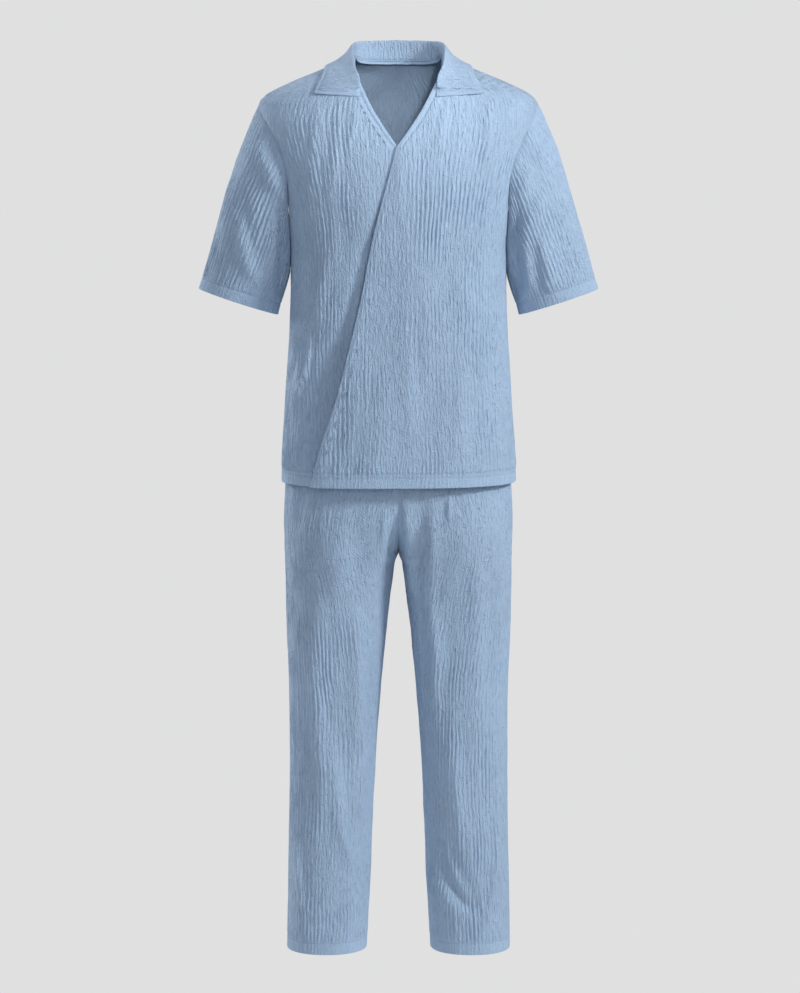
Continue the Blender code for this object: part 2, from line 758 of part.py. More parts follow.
def main():
    for old in list(bpy.data.objects):
        bpy.data.objects.remove(old, do_unlink=True)
    collection = bpy.data.collections.new(SET_NAME)
    bpy.context.scene.collection.children.link(collection)
    blue = (0.275, 0.402, 0.604)
    shaded = (0.255, 0.380, 0.575)
    front("front_left", 1, "over", collection, blue)
    front("front_right", -1, "under", collection, shaded)
    back("back", collection, blue)
    sleeve("sleeve_left", 1, collection, blue)
    sleeve("sleeve_right", -1, collection, blue)
    collar("collar", collection, blue)
    for wearer_side, side in (("left", 1), ("right", -1)):
        for face in ("front", "back"):
            trouser_panel(f"trouser_{face}_{wearer_side}", side, face, collection, blue)
    waistband("waistband", collection, shaded)


main()
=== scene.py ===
"""The finished looks of the lounge set: crinkled cotton cloth, turned hems, stitching, soft folds.

Lengths are in millimetres until a mesh is made, and the axes are the frame's: +Z up, -Y the front,
+X the wearer's left.
"""
import math
from collections import namedtuple

import bmesh
import bpy
import numpy as np
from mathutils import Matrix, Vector


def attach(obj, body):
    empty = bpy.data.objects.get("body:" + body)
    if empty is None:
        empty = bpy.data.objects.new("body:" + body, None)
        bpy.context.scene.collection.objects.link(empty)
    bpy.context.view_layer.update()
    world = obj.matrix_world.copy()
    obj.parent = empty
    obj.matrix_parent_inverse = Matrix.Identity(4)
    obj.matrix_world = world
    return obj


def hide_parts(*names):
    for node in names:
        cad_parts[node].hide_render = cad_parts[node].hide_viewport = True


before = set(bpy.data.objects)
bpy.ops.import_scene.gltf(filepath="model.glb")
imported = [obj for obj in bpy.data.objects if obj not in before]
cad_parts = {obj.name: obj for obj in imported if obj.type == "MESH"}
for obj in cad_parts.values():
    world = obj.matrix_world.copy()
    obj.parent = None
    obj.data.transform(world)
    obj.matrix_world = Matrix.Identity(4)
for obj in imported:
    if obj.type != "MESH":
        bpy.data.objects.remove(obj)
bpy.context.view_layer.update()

MM = 0.001
GRAIN_SCALE = 0.01  # one unit of the grain map is 100 mm of cloth
QUARTER = math.pi / 2
FULL_TURN = 2 * math.pi

SIDES = {"left": 1, "right": -1}  # the wearer's sides, and their signs along X

# Heights that several pieces share.
SHOULDER_POINT = -76
ARMPIT = -322
PULLOVER_HEM_FRONT = -703
PULLOVER_HEM_SIDE = -700
BACK_NECK_HEIGHT = -5
POINT_OF_V = (-2, -146)
WAIST_TOP = -517
WAIST_SEAM = -552
CROTCH = -824
TROUSER_HEM = -1498

# The finished edges: how round a fold in the cloth is, and how far the cloth goes back inside it.
SEAM = (0.7, 5)
FREE_EDGE = (1.1, 14)
HEM = (1.2, 24)
COLLAR_EDGE = (1.3, 9)
COLLAR_FOOT = (0.3, 2)
CASING_TOP = (1.4, 30)
V_BAND = 8
WRAP_BAND = 3
# How far from the edge each row of stitching runs.
TWIN_STITCHING = (15.5, 23)
SINGLE_STITCHING = 18
COLLAR_STITCHING = 4.5
SLEEVE_GIRTH = 420
SLEEVE_LENGTH = 330
WAIST_GIRTH = 980

# Half the space between two pieces at a seam, and how far their strips reach into it.
SEAM_HALF_GAP = 0.15
SEAM_MEETS = 0.25

# How strongly folds and crinkle are raised, and the share of the crinkle that is left in hems and bands.
FOLD_STRENGTH = 1.5
TROUSER_FOLD_STRENGTH = 1.35
CRINKLE_HEIGHT = 1.2
COLLAR_CRINKLE_HEIGHT = 0.3
HEM_CRINKLE = 0.4
COLLAR_EDGE_CRINKLE = 0.35
BAND_CRINKLE = 0.3
# Over which distances above a hem the crinkle comes back.
PULLOVER_HEM_FADE = (17, 27)
CUFF_FADE = (17, 26)
TROUSER_HEM_FADE = (19, 28)

# The distance between pleats, narrow ridges, creases, broad ridges and soft waves across the cloth.
PLEATS, NARROW, CREASES, BROAD, WAVES = 6.5, 2.7, 4, 8, 17

# The grids of cloth: their columns, and the distance between rows. Where there are three numbers, the others
# are the length above the hem that has finer rows, and the distance between those.
OVER_COLUMNS, UNDER_COLUMNS, BACK_COLUMNS, LEG_COLUMNS = 290, 220, 226, 210
SLEEVE_COLUMNS, COLLAR_ROWS, COLLAR_COLUMNS, WAIST_COLUMNS, WAIST_ROWS = 360, 170, 64, 620, 16
FRONT_ROWS = SLEEVE_ROWS = (5, 30, 1.5)
BACK_ROWS = (5.2, 30, 1.5)
SEAT_ROW = 5.6
LEG_ROWS = (5.7, 28, 1.8)
FRONT_NECK_ROWS, BACK_NECK_ROWS = 48, 16
WAIST_PLEATS = 170
COLLAR_FOLD_COLUMN = 20

# Steps down the edges of the pullover's pieces: of the V, the back neck, the armhole, and all to the hem.
V_STEPS, NECK_STEPS, ARMHOLE_STEPS, ALL_STEPS = 6, 4, 12, 24

# How far the edge on top stands up, how far the front under it is pressed in, and where both fade out.
WRAP_RIM = {"rise": 3.2, "half_width": 13, "none": -210, "full": -430, "hem_none": 8, "hem_full": 70}
WRAP_PRESS = {"depth": 3.0, "half_width": 3.2, "beyond": -0.5, "none": -165, "full": -230}
COVERED = {"from": 2, "to": 16, "none": -160, "full": -200, "damped": 0.8, "lowered": 2.5}
V_BINDING = {"over": 0.45, "under": 1}

# The studio, in metres, watts and degrees: each lamp's kind, place, aim, power, and its size or its spread.
FLOOR_HALF, FLOOR_LEVEL = 2.8, -2.6
LAMPS = {
    "key": ("AREA", (3.3, -2.1, 1.8), (0, 0, -0.6), 140, 0.75),
    "front": ("AREA", (0.6, -4.6, 0.9), (0, 0, -0.5), 26, 1.6),
    "neck": ("SPOT", (0.5, -3.6, 0.7), (0, 0.05, -0.07), 340, 5),
    "rear": ("AREA", (-3.4, 2.2, 1.0), (0, 0, -0.7), 110, 1.6),
}
SPOT_SOFTNESS = 0.15
AIR_COLOUR, AIR_STRENGTH = (0.93, 0.98, 1.09, 1), 0.33
VIEW_PLACE, VIEW_TILT = (0.00252, -5.54, -0.12869), 83.8
LENS, SENSOR = 120.2545, 36


class Table:
    """Rows with named columns and a smooth curve through each column, read at any array of keys."""

    def __init__(self, columns, rows):
        self.columns = columns
        self.rows = np.array(sorted(rows), dtype=float)
        slopes = np.diff(self.rows, axis=0) / np.diff(self.rows[:, :1], axis=0)
        product = slopes[:-1] * slopes[1:]
        total = slopes[:-1] + slopes[1:]
        inner = np.where(product > 0, 2 * product / np.where(total == 0, 1, total), 0)
        self.slopes = np.vstack([slopes[:1], inner, slopes[-1:]])

    def at(self, key):
        """Every column's value at the keys, on a curve that never swings past its rows."""
        keys = self.rows[:, 0]
        key = np.clip(np.asarray(key, dtype=float), keys[0], keys[-1])
        low = np.clip(np.searchsorted(keys, key, side="right") - 1, 0, len(keys) - 2)
        span = keys[low + 1] - keys[low]
        along = (key - keys[low]) / span
        start, end = self.rows[low], self.rows[low + 1]
        blend = (along * along * (3 - 2 * along))[..., None]
        bend_in = (along * (1 - along) ** 2 * span)[..., None]
        bend_out = (along * along * (along - 1) * span)[..., None]
        row = start + (end - start) * blend + self.slopes[low] * bend_in + self.slopes[low + 1] * bend_out
        return {name: row[..., k] for k, name in enumerate(self.columns)}


TORSO = Table(
    ("height", "half_width", "front", "back", "middle", "roundness"), [
        (2, 73, 46, 64, 0, 2.2),
        (-10, 106, 62, 78, 0, 2.2),
        (-24, 141, 74, 90, -1, 2.2),
        (-43, 186, 87, 101, -2, 2.25),
        (-62, 221, 97, 109, -3, 2.3),
        (-76, 231, 103, 113, -4, 2.3),
        (-100, 233, 109, 117, -6, 2.35),
        (-146, 222, 117, 121, -8, 2.4),
        (-182, 209, 121, 122, -10, 2.45),
        (-260, 189, 124, 121, -14, 2.5),
        (-322, 179.5, 125, 118, -15, 2.5),
        (-380, 178.6, 125, 116, -15, 2.5),
        (-441, 180.4, 125, 116, -15, 2.5),
        (-521, 185.7, 125, 121, -15, 2.5),
        (-602, 191, 125, 130, -14, 2.5),
        (-672, 195.5, 125, 136.4, -13, 2.5),
        (-704, 196, 126, 138.4, -13, 2.5),
    ])
V_EDGE = Table(("step", "x", "height"), [
    (0, 73, 2), (1, 71, -19), (2, 62.5, -40), (3, 54, -57), (4, 41, -82), (5, 20, -115), (6, -2, -146)])
BACK_NECK = Table(("step", "x", "height"), [(0, 73, 2), (1, 66, -2), (2, 48, -4.5), (3, 25, -5), (4, 0, -5)])
WRAP_EDGE = Table(("height", "x"), [
    (-146, -2), (-195, -15), (-240, -27), (-295, -41), (-394, -60), (-488, -82), (-562, -101), (-638, -125),
    (-704, -144)])
ARMHOLE = Table(("height", "front_x", "back_x"), [
    (-76, 231, 231), (-93, 225.5, 228), (-114, 213, 221), (-146, 199.5, 208), (-172, 189, 199),
    (-196, 183.5, 193), (-225, 181, 187.5), (-262, 180, 182.5), (-297, 179.3, 180.3), (-322, 179.5, 179.5)])
LEGS = Table(
    ("height", "outer", "inner", "front", "back", "middle", "roundness"), [
        (-517, 160, 0, 100, 104, -9, 2.3),
        (-552, 165, 0, 104, 108, -8, 2.3),
        (-620, 178, 0, 109, 117, -7, 2.35),
        (-704, 188, 0, 112, 123, -6, 2.4),
        (-770, 190.8, 0, 112, 125, -4, 2.4),
        (-824, 189.6, 0.6, 108, 119, -2, 2.35),
        (-838, 189.4, 5.9, 105, 115, -2, 2.3),
        (-872, 189.2, 10.5, 98, 107, -1, 2.25),
        (-906, 188.8, 15.2, 92, 100, 0, 2.2),
        (-974, 187.3, 22.8, 84, 90, 0, 2.2),
        (-1077, 184.3, 32.1, 77, 82, 0, 2.2),
        (-1180, 183.8, 39.3, 74, 78, 0, 2.2),
        (-1283, 185.1, 44.5, 73, 76, 0, 2.2),
        (-1387, 187.1, 48.5, 73, 75, 0, 2.2),
        (-1498, 190, 54, 74, 75, 0, 2.2),
    ])
CROTCH_CURVE = {"front": 150, "back": 190}
CROTCH_POWER = 1.5
CUFF = {"x": 267, "middle": 2, "height": -402, "half_width": 69.5, "half_depth": 54, "tilt": 18.2}
SLEEVE_CLEARANCE = 1.4
SLEEVE_SWELL = {"outer": 48, "side": 40, "under": 42}
COLLAR = Table(
    ("step", "neck_x", "neck_height", "neck_side", "stand", "curl", "edge_x", "edge_height", "edge_side"), [
        (0, 0, -5, 1, 34, 1.2, 0, -17, 1),
        (1, 48, -4.5, 1, 32, 1.3, 66, -18, 1),
        (2, 66, -2, 1, 28, 1.8, 99, -16, 0.6),
        (3, 73, 2, 0, 19, 2.5, 113, -13, 0),
        (4, 71, -19, -1, 10, 3, 124, -34, -1),
        (5, 63.5, -38, -1, 6, 3, 131, -48, -1),
        (6, 62, -64, -1, 0.6, 3, 136, -60, -1),
    ])
COLLAR_LAY = 2.4
COLLAR_EDGE_LIFT = 1.6
COLLAR_SEAT = 0.85
COLLAR_ROLL = 3.4
LIFT_OF_WRAP = 2.0
WRAP_BLEND = 60
WRAP_LIFT_WIDTH = 70
LOW_LIFT_OF_WRAP = 2
DIP_UNDER_WRAP = 1.6
HOLLOW_FROM_EDGE = 12
UNDERLAP_AT_HEM = 66

# Large soft folds: side (-1 the front, 1 the back), x and height of both ends, half width, and rise, which
# is below 0 for a trough.
PULLOVER_FOLDS = [
    (-1, -104, -478, -158, -640, 22, -8),
    (-1, -148, -452, -176, -590, 13, 4),
    (-1, 120, -250, 60, -420, 26, -3),
    (-1, -110, -230, -80, -330, 24, -3),
    (-1, 150, -420, 120, -640, 24, -3.5),
    (-1, 60, -500, 45, -690, 22, -3),
    (-1, -20, -520, -40, -690, 20, 3),
    (1, 60, -330, 80, -560, 26, -4),
    (1, -75, -300, -60, -520, 26, -4),
    (1, 0, -180, 10, -330, 28, -3),
    (1, 150, -250, 110, -380, 22, -4),
    (1, -150, -240, -115, -390, 22, -4),
]
TROUSER_FOLDS = [
    (-1, 44, -725, 48, -960, 15, -5),
    (-1, 150, -850, 140, -1080, 20, -3),
    (-1, 84, -1310, 132, -1425, 15, -6),
    (-1, 168, -1230, 160, -1400, 11, 4),
    (-1, -150, -860, -135, -1060, 20, -3),
    (-1, -172, -1270, -160, -1440, 11, 4),
    (-1, -80, -1390, -130, -1450, 16, -5),
    (-1, -60, -760, -70, -930, 16, -4),
    (1, 70, -830, 150, -900, 18, -6),
    (1, -70, -835, -150, -905, 18, -6),
    (1, 100, -1120, 150, -1190, 18, -5),
    (1, -105, -1130, -155, -1200, 18, -5),
    (1, 110, -1330, 130, -1440, 18, -4),
    (1, -110, -1340, -130, -1440, 18, -4),
]

# The hollow beside the wrapped edge, in the front under it: how deep and how wide it is at each height.
WRAP_HOLLOW = Table(("height", "depth", "half_width"), [
    (-146, 0, 10), (-190, 0.4, 10), (-350, 1.6, 14), (-480, 6.5, 22), (-640, 8, 26), (-704, 6, 24)])

# Finer folds, each a line of (x, height), with its half width and rise.
UNDER_FRONT_FOLDS = [
    ([(-143, -448), (-146, -488), (-153, -520), (-178, -571)], 5, 3.2),
    ([(-111, -310), (-128, -386), (-140, -448)], 12, 3),
    ([(-61, -326), (-66, -394), (-78, -468)], 8, 3),
    ([(-135, -604), (-142, -635)], 10, -4),
    ([(-67, -80), (-80, -151)], 5, 1.6),
    ([(-96, -80), (-106, -216)], 8, 1.6),
    ([(-130, -70), (-145, -232)], 10, 1.8),
    ([(-161, -591), (-173, -690)], 10, 2),
    ([(-52, -290), (-85, -462), (-117, -577), (-141, -680)], 8, -3),
]
OVER_FRONT_FOLDS = [
    ([(14, -427), (19, -640)], 13, 1.8),
    ([(45, -362), (47, -558)], 13, 1.6),
    ([(97, -346), (146, -484), (179, -607)], 18, 2.6),
    ([(104, -525), (93, -673)], 15, 1.8),
    ([(77, -70), (67, -151)], 7, 1.6),
    ([(148, -70), (144, -183)], 7, 1.8),
    ([(6, -151), (-1, -281)], 10, 1.4),
]
BACK_FOLDS = [
    ([(40, -140), (34, -330)], 11, 1.4),
    ([(-52, -150), (-58, -300)], 10, 1.4),
    ([(118, -110), (130, -280)], 10, 1.8),
    ([(-128, -110), (-140, -270)], 10, 1.8),
    ([(-15, -330), (-12, -640)], 14, 2),
    ([(-100, -400), (-128, -600)], 14, 2.4),
    ([(104, -420), (140, -640)], 14, 2.4),
    ([(62, -560), (58, -690)], 11, 1.8),
    ([(-60, -570), (-66, -690)], 11, 1.8),
]
SLEEVE_FOLDS = {
    1: [([(221, -177), (195, -230)], 10, 4),
        ([(251, -213), (218, -261), (195, -302)], 12, 5),
        ([(235, -292), (252, -388)], 13, 5),
        ([(207, -299), (217, -373), (209, -408)], 10, 4),
        ([(276, -217), (291, -335)], 15, 2),
        ([(196, -215), (195, -400)], 9, -3.5)],
    -1: [([(-234, -135), (-218, -176), (-188, -236)], 12, 4),
         ([(-267, -246), (-251, -335), (-230, -375)], 12, 4),
         ([(-195, -269), (-209, -384)], 10, 3.5),
         ([(-279, -192), (-291, -335)], 15, 2.2),
         ([(-236, -217), (-235, -299)], 13, 2),
         ([(-196, -215), (-195, -400)], 9, -3.5)],
}
TROUSER_FRONT_FOLDS = [
    ([(55, -713), (54, -776), (52, -888), (64, -998), (57, -1098)], 12, 5),
    ([(11, -726), (17, -801), (26, -901)], 8, 3.2),
    ([(132, -826), (135, -960), (132, -1082)], 15, 3),
    ([(-138, -876), (-137, -1027), (-131, -1162), (-121, -1263)], 15, 4),
    ([(-69, -893), (-67, -1094), (-63, -1251)], 13, 4),
    ([(-114, -1128), (-96, -1292), (-71, -1362)], 12, 3.2),
    ([(-178, -1272), (-171, -1348), (-162, -1437)], 5, 2),
    ([(174, -1272), (160, -1377), (148, -1451)], 5, 2),
    ([(58, -1294), (79, -1370), (103, -1408), (133, -1427)], 10, -5),
    ([(85, -709), (82, -766)], 5, 2),
    ([(-24, -734), (-27, -826)], 7, 2),
    ([(-78, -1413), (-115, -1444), (-145, -1451)], 8, -3),
    ([(89, -1128), (106, -1314)], 13, 2.6),
    ([(176, -759), (165, -960)], 15, 2),
    ([(-105, -759), (-100, -893)], 16, 2.2),
]
TROUSER_BACK_FOLDS = [
    ([(20, -840), (70, -880), (140, -870)], 12, 1.6),
    ([(-22, -845), (-75, -884), (-142, -872)], 12, 1.6),
    ([(30, -900), (80, -950), (150, -945)], 13, 1.4),
    ([(-32, -905), (-82, -952), (-150, -950)], 13, 1.4),
    ([(70, -990), (78, -1240)], 13, 3.4),
    ([(-66, -1000), (-80, -1250)], 13, 3.4),
    ([(140, -1000), (150, -1300)], 14, 2.6),
    ([(-142, -980), (-148, -1290)], 14, 2.6),
    ([(80, -1330), (120, -1420)], 9, -4),
    ([(-84, -1340), (-126, -1424)], 9, -4),
    ([(70, -600), (60, -780)], 14, 2.2),
    ([(-74, -610), (-62, -790)], 14, 2.2),
    ([(150, -620), (160, -800)], 12, 2),
    ([(-150, -630), (-158, -790)], 12, 2),
]


def smooth_step(low, high, value):
    """0 below low, 1 above high, and a soft curve between."""
    along = np.clip((np.asarray(value, dtype=float) - low) / (high - low), 0, 1)
    return along * along * (3 - 2 * along)


def mix(first, second, share):
    return first + (second - first) * share


def unit(vectors):
    return vectors / np.maximum(np.linalg.norm(vectors, axis=-1, keepdims=True), 1e-9)


def travelled(points, axis=0):
    """The distance run along a grid of points, from 0 at its first line."""
    steps = np.cumsum(np.linalg.norm(np.diff(points, axis=axis), axis=-1), axis=axis)
    return np.concatenate([np.zeros_like(np.take(steps, [0], axis=axis)), steps], axis=axis)


def away_from(line, points):
    """The straight distance of each point of a grid from its place on a line."""
    return np.linalg.norm(points - line, axis=-1)


LATTICE_SIZE = 512
LATTICES = {}


def value_noise(across, along, seed):
    """Smooth seeded noise between -1 and 1 that changes about once per unit."""
    if seed not in LATTICES:
        LATTICES[seed] = np.random.default_rng(seed).uniform(-1, 1, (LATTICE_SIZE, LATTICE_SIZE))
    lattice = LATTICES[seed]
    column = np.floor(across).astype(int)
    row = np.floor(along).astype(int)
    right, up = smooth_step(0, 1, across - column), smooth_step(0, 1, along - row)
    left_of, below = column % LATTICE_SIZE, row % LATTICE_SIZE
    right_of, above = (column + 1) % LATTICE_SIZE, (row + 1) % LATTICE_SIZE
    near = mix(lattice[left_of, below], lattice[right_of, below], right)
    far = mix(lattice[left_of, above], lattice[right_of, above], right)
    return mix(near, far, up)


def crinkle(grain, seed):
    """The crinkle's height at cloth coordinates: long wavy ridges along the grain, uneven in strength."""
    across, along = grain[..., 0], grain[..., 1]

    def noise(spacing, length, which, place=across):
        return value_noise(place / spacing, along / length, seed + which)

    sway = 1.8 * noise(40, 60, 0) + 0.6 * noise(9, 20, 1)
    shifted = across + 1.4 * sway + 2.2 * noise(60, 150, 9)
    swayed = across + sway
    pleats = np.sin(FULL_TURN * shifted / PLEATS) * (0.7 + 0.5 * noise(14, 48, 10))
    narrow = noise(NARROW, 36, 2, swayed)
    creases = 1 - 2.6 * np.abs(noise(CREASES, 40, 3, swayed))
    broad = noise(BROAD, 70, 4, swayed)
    waves = noise(WAVES, 150, 5, across + 2 * sway)
    knots = noise(NARROW, 5.5, 6, swayed)
    strength = np.clip(0.8 + 0.7 * noise(38, 60, 7) + 0.3 * noise(15, 26, 8), 0.2, 1.5)
    ridges = 0.85 * pleats + 0.38 * narrow + 0.16 * creases + 0.22 * broad + 0.1 * knots
    return 1.5 * np.tanh(strength * ridges / 1.5) + 0.7 * waves


def drape_lines(points, normals, folds, face):
    """How far soft folds raise the cloth where it faces the front (-1) or the back (1)."""
    flat = points[..., [0, 2]]
    total = np.zeros(flat.shape[:-1])
    for line, half_width, rise in folds:
        line = np.array(line, dtype=float)
        runs = np.diff(line, axis=0)
        lengths = np.linalg.norm(runs, axis=-1)
        nearest = np.full(total.shape, 1e9)
        reached = np.zeros(total.shape)
        for start, run, length, before in zip(line, runs, lengths, np.cumsum(lengths) - lengths):
            along = np.clip((flat - start) @ run / length ** 2, 0, 1)
            away = np.linalg.norm(flat - start - along[..., None] * run, axis=-1)
            closer = away < nearest
            nearest = np.where(closer, away, nearest)
            reached = np.where(closer, before + along * length, reached)
        share = np.clip(reached / lengths.sum(), 0.02, 0.98)
        total += rise * np.sin(math.pi * share) ** 0.6 * np.exp(-(nearest / half_width) ** 2)
    return FOLD_STRENGTH * total * smooth_step(0.02, 0.45, face * normals[..., 1])


def oval_point(oval, angle, height):
    """Points on level ovals; angle 0 faces the front, a quarter turn is the wearer's left."""
    power = 2 / oval["roundness"]
    sine, cosine = np.sin(angle), np.cos(angle)
    sideways = np.sign(sine) * np.abs(sine) ** power
    forward = np.sign(cosine) * np.abs(cosine) ** power
    depth = np.where(forward > 0, oval["front"], oval["back"])
    x = oval["centre"] + oval["half_width"] * sideways
    return np.stack(np.broadcast_arrays(x, oval["middle"] - depth * forward, height), axis=-1)


def oval_angle(oval, x, side):
    """The angle at which an oval is x from its centre, on the front (side -1) or the back (side 1)."""
    offset = x - oval["centre"]
    share = np.minimum(np.abs(offset) / oval["half_width"], 1)
    sign = np.where(offset < 0, -1.0, 1.0)
    angle = sign * np.arcsin(share ** (oval["roundness"] / 2))
    return sign * math.pi - angle if side > 0 else angle


def oval_measure(oval, point):
    """1 on the oval, less inside it and more outside."""
    depth = np.where(point[..., 1] < oval["middle"], oval["front"], oval["back"])
    across = np.abs(point[..., 0] - oval["centre"]) / oval["half_width"]
    along = np.abs(point[..., 1] - oval["middle"]) / depth
    return across ** oval["roundness"] + along ** oval["roundness"]


def outward(section, point):
    """The direction square to a body made of level ovals, out of the cloth."""
    height = point[..., 2]
    oval = section(height)
    step = 0.05
    slope = np.zeros_like(point)
    for axis in (0, 1):
        offset = np.zeros(3)
        offset[axis] = step
        change = oval_measure(oval, point + offset) - oval_measure(oval, point - offset)
        slope[..., axis] = change / (2 * step)
    slope[..., 2] = oval_measure(section(height + 0.5), point) - oval_measure(section(height - 0.5), point)
    return unit(slope)


def torso_oval(height):
    oval = TORSO.at(height)
    oval["centre"] = 0.0
    return oval


def leg_oval(height, side, face):
    """The oval of one leg. Above the crotch it opens towards the middle, up to the whole seat."""
    oval = LEGS.at(height)
    opening = np.clip((np.asarray(height) - CROTCH) / CROTCH_CURVE[face], 0, 1) ** CROTCH_POWER
    below = np.asarray(height) < CROTCH
    inner = np.where(below, oval["inner"], -oval["outer"] * opening)
    oval["centre"] = side * (oval["outer"] + inner) / 2
    oval["half_width"] = (oval["outer"] - inner) / 2
    return oval


def seat_oval(height):
    """The seat's whole oval above the crotch curve."""
    oval = LEGS.at(height)
    oval["centre"] = 0.0
    oval["half_width"] = oval["outer"]
    return oval


def fold_lines(rows, section):
    """Each fold as two points on the body, a half width and a rise."""
    lines = []
    for side, x, height, end_x, end_height, half_width, rise in rows:
        ends = []
        for place, level in ((x, height), (end_x, end_height)):
            oval = section(float(level), place)
            ends.append(oval_point(oval, oval_angle(oval, place, side), float(level)))
        lines.append((ends[0], ends[1], half_width, rise))
    return lines


def relief(points, lines):
    """How far the folds raise the cloth at each point."""
    total = np.zeros(points.shape[:-1])
    for start, end, half_width, rise in lines:
        run = end - start
        along = np.clip((points - start) @ run / (run @ run), 0, 1)
        away = np.linalg.norm(points - start - along[..., None] * run, axis=-1) / half_width
        ends = np.sin(math.pi * np.clip(along, 0.02, 0.98)) ** 0.5
        total += rise * ends * np.exp(-away * away)
    return total


PULLOVER_LINES = fold_lines(PULLOVER_FOLDS, lambda height, x: torso_oval(height))
TROUSER_LINES = fold_lines(TROUSER_FOLDS, lambda height, x: leg_oval(height, math.copysign(1, x), "front"))


def wrap_lift(point, layer):
    """How far a front moves where the two overlap: raised on top, hollowed underneath."""
    height = point[..., 2]
    edge = WRAP_EDGE.at(height)["x"]
    beyond = point[..., 0] - edge
    started = smooth_step(-100, -146, height)
    facing = point[..., 1] < 0
    if layer == "over":
        low = smooth_step(-330, -560, height)
        lift = LIFT_OF_WRAP * (1 - smooth_step(WRAP_LIFT_WIDTH, WRAP_LIFT_WIDTH + WRAP_BLEND, beyond))
        lift = lift + LOW_LIFT_OF_WRAP * low * (1 - smooth_step(6, 60, beyond))
        return lift * started * facing
    hollow = WRAP_HOLLOW.at(height)
    away = np.minimum(beyond + HOLLOW_FROM_EDGE, 0) / hollow["half_width"]
    dip = DIP_UNDER_WRAP * smooth_step(-WRAP_BLEND / 2, 0, beyond)
    return -(dip + hollow["depth"] * np.exp(-away ** 2)) * started * facing


def torso_surface(angle, height, layer=None):
    """Points of the pullover's outer face and the directions out of the cloth there."""
    bare = oval_point(torso_oval(height), angle, height)
    normal = outward(torso_oval, bare)
    raised = relief(bare, PULLOVER_LINES) * smooth_step(-150, -230, height)
    if layer:
        raised = raised + wrap_lift(bare, layer)
    return bare + normal * raised[..., None], normal


def girth_table():
    """Distance round the pullover from the middle of the front, at a level where it is of average size."""
    angles = np.linspace(0, math.pi, 2001)
    level = -400.0
    return angles, travelled(oval_point(torso_oval(np.full(angles.shape, level)), angles, level))


GIRTH_ANGLES, GIRTHS = girth_table()


def girth(angle):
    """Cloth coordinate round the pullover. Angles run on past half a turn to the other side of the back."""
    angle = np.asarray(angle, dtype=float)
    whole = 2 * GIRTHS[-1]
    inside = np.interp(np.abs(angle), GIRTH_ANGLES, GIRTHS)
    past = whole - np.interp(FULL_TURN - np.abs(angle), GIRTH_ANGLES, GIRTHS)
    return np.sign(angle) * np.where(np.abs(angle) <= math.pi, inside, past)


# A grid of cloth: points, outward directions, cloth coordinates and how much crinkle shows.
Patch = namedtuple("Patch", "points normals grain rough")

# Each edge of a grid: the axis that it stands across, its line and the line next to it.
EDGES = {
    "first_row": (0, 0, 1), "last_row": (0, -1, -2), "first_column": (1, 0, 1), "last_column": (1, -1, -2)}


def edge_of(patch, edge, span=slice(None)):
    """The edge of a patch and the line next to it, each as one row."""
    axis, outer, inner = EDGES[edge]
    return [Patch(*(np.take(part, line, axis=axis)[span] for part in patch)) for line in (outer, inner)]


def draw_back(patch, edge, amount):
    """Draws one edge of a patch in along the cloth, to make room for its fold or its seam."""
    outer, inner = edge_of(patch, edge)
    axis, line, _ = EDGES[edge]
    moved = outer.points + unit(inner.points - outer.points) * amount
    patch.points[(line, slice(None)) if axis == 0 else (slice(None), line)] = moved


def edge_strip(outer, inner, steps):
    """The strip that carries an edge's cloth on: steps are how far out, how far in, and how much cloth."""
    out = unit(outer.points - inner.points)
    grain_out = unit(outer.grain - inner.grain)
    points = [outer.points + out * reach - outer.normals * sunk for reach, sunk, _ in steps]
    grain = [outer.grain + grain_out * cloth for _, _, cloth in steps]
    normals, rough = (np.repeat(part[None], len(steps), axis=0) for part in (outer.normals, outer.rough))
    return Patch(np.array(points), normals, np.array(grain), rough)


def seam_edge(patch, edge, span=slice(None)):
    """The strip that carries the cloth round its edge and straight in, against the other piece's strip."""
    radius, depth = SEAM
    across = radius + SEAM_MEETS
    steps = [(across * math.sin(angle), radius * (1 - math.cos(angle)), radius * angle)
             for angle in np.radians((0, 30, 60, 90))]
    steps += [(across, radius + below * depth, radius * QUARTER + below * depth) for below in (0.35, 1)]
    return edge_strip(*edge_of(patch, edge, span), steps)


def turned_edge(patch, edge, finish):
    """The strip that carries the cloth round its edge and back inside."""
    radius, depth = finish
    steps = [(radius * math.sin(angle), radius * (1 - math.cos(angle)), radius * angle)
             for angle in np.radians((0, 35, 70, 110, 145, 180))]
    steps += [(-back, 2 * radius, radius * math.pi + back) for back in np.linspace(0, depth, 5)[1:]]
    return edge_strip(*edge_of(patch, edge), steps)


def finished(patch, seams, turned):
    """A patch with the strips along its edges: seams are drawn back to make room, others turned in."""
    for edge in seams:
        draw_back(patch, edge, SEAM[0])
    return ([patch] + [seam_edge(patch, edge) for edge in seams]
            + [turned_edge(patch, edge, finish) for edge, finish in turned])


def raised_patch(points, normals, grain, rough, seed, height=CRINKLE_HEIGHT):
    """A patch with its crinkle raised along the outward directions."""
    lift = crinkle(grain, seed) * rough * height
    return Patch(points + normals * lift[..., None], normals, grain, rough)


def add_object(name, mesh, material):
    piece = bpy.data.objects.new(name, mesh)
    piece.data.materials.append(material)
    bpy.context.scene.collection.objects.link(piece)
    return piece


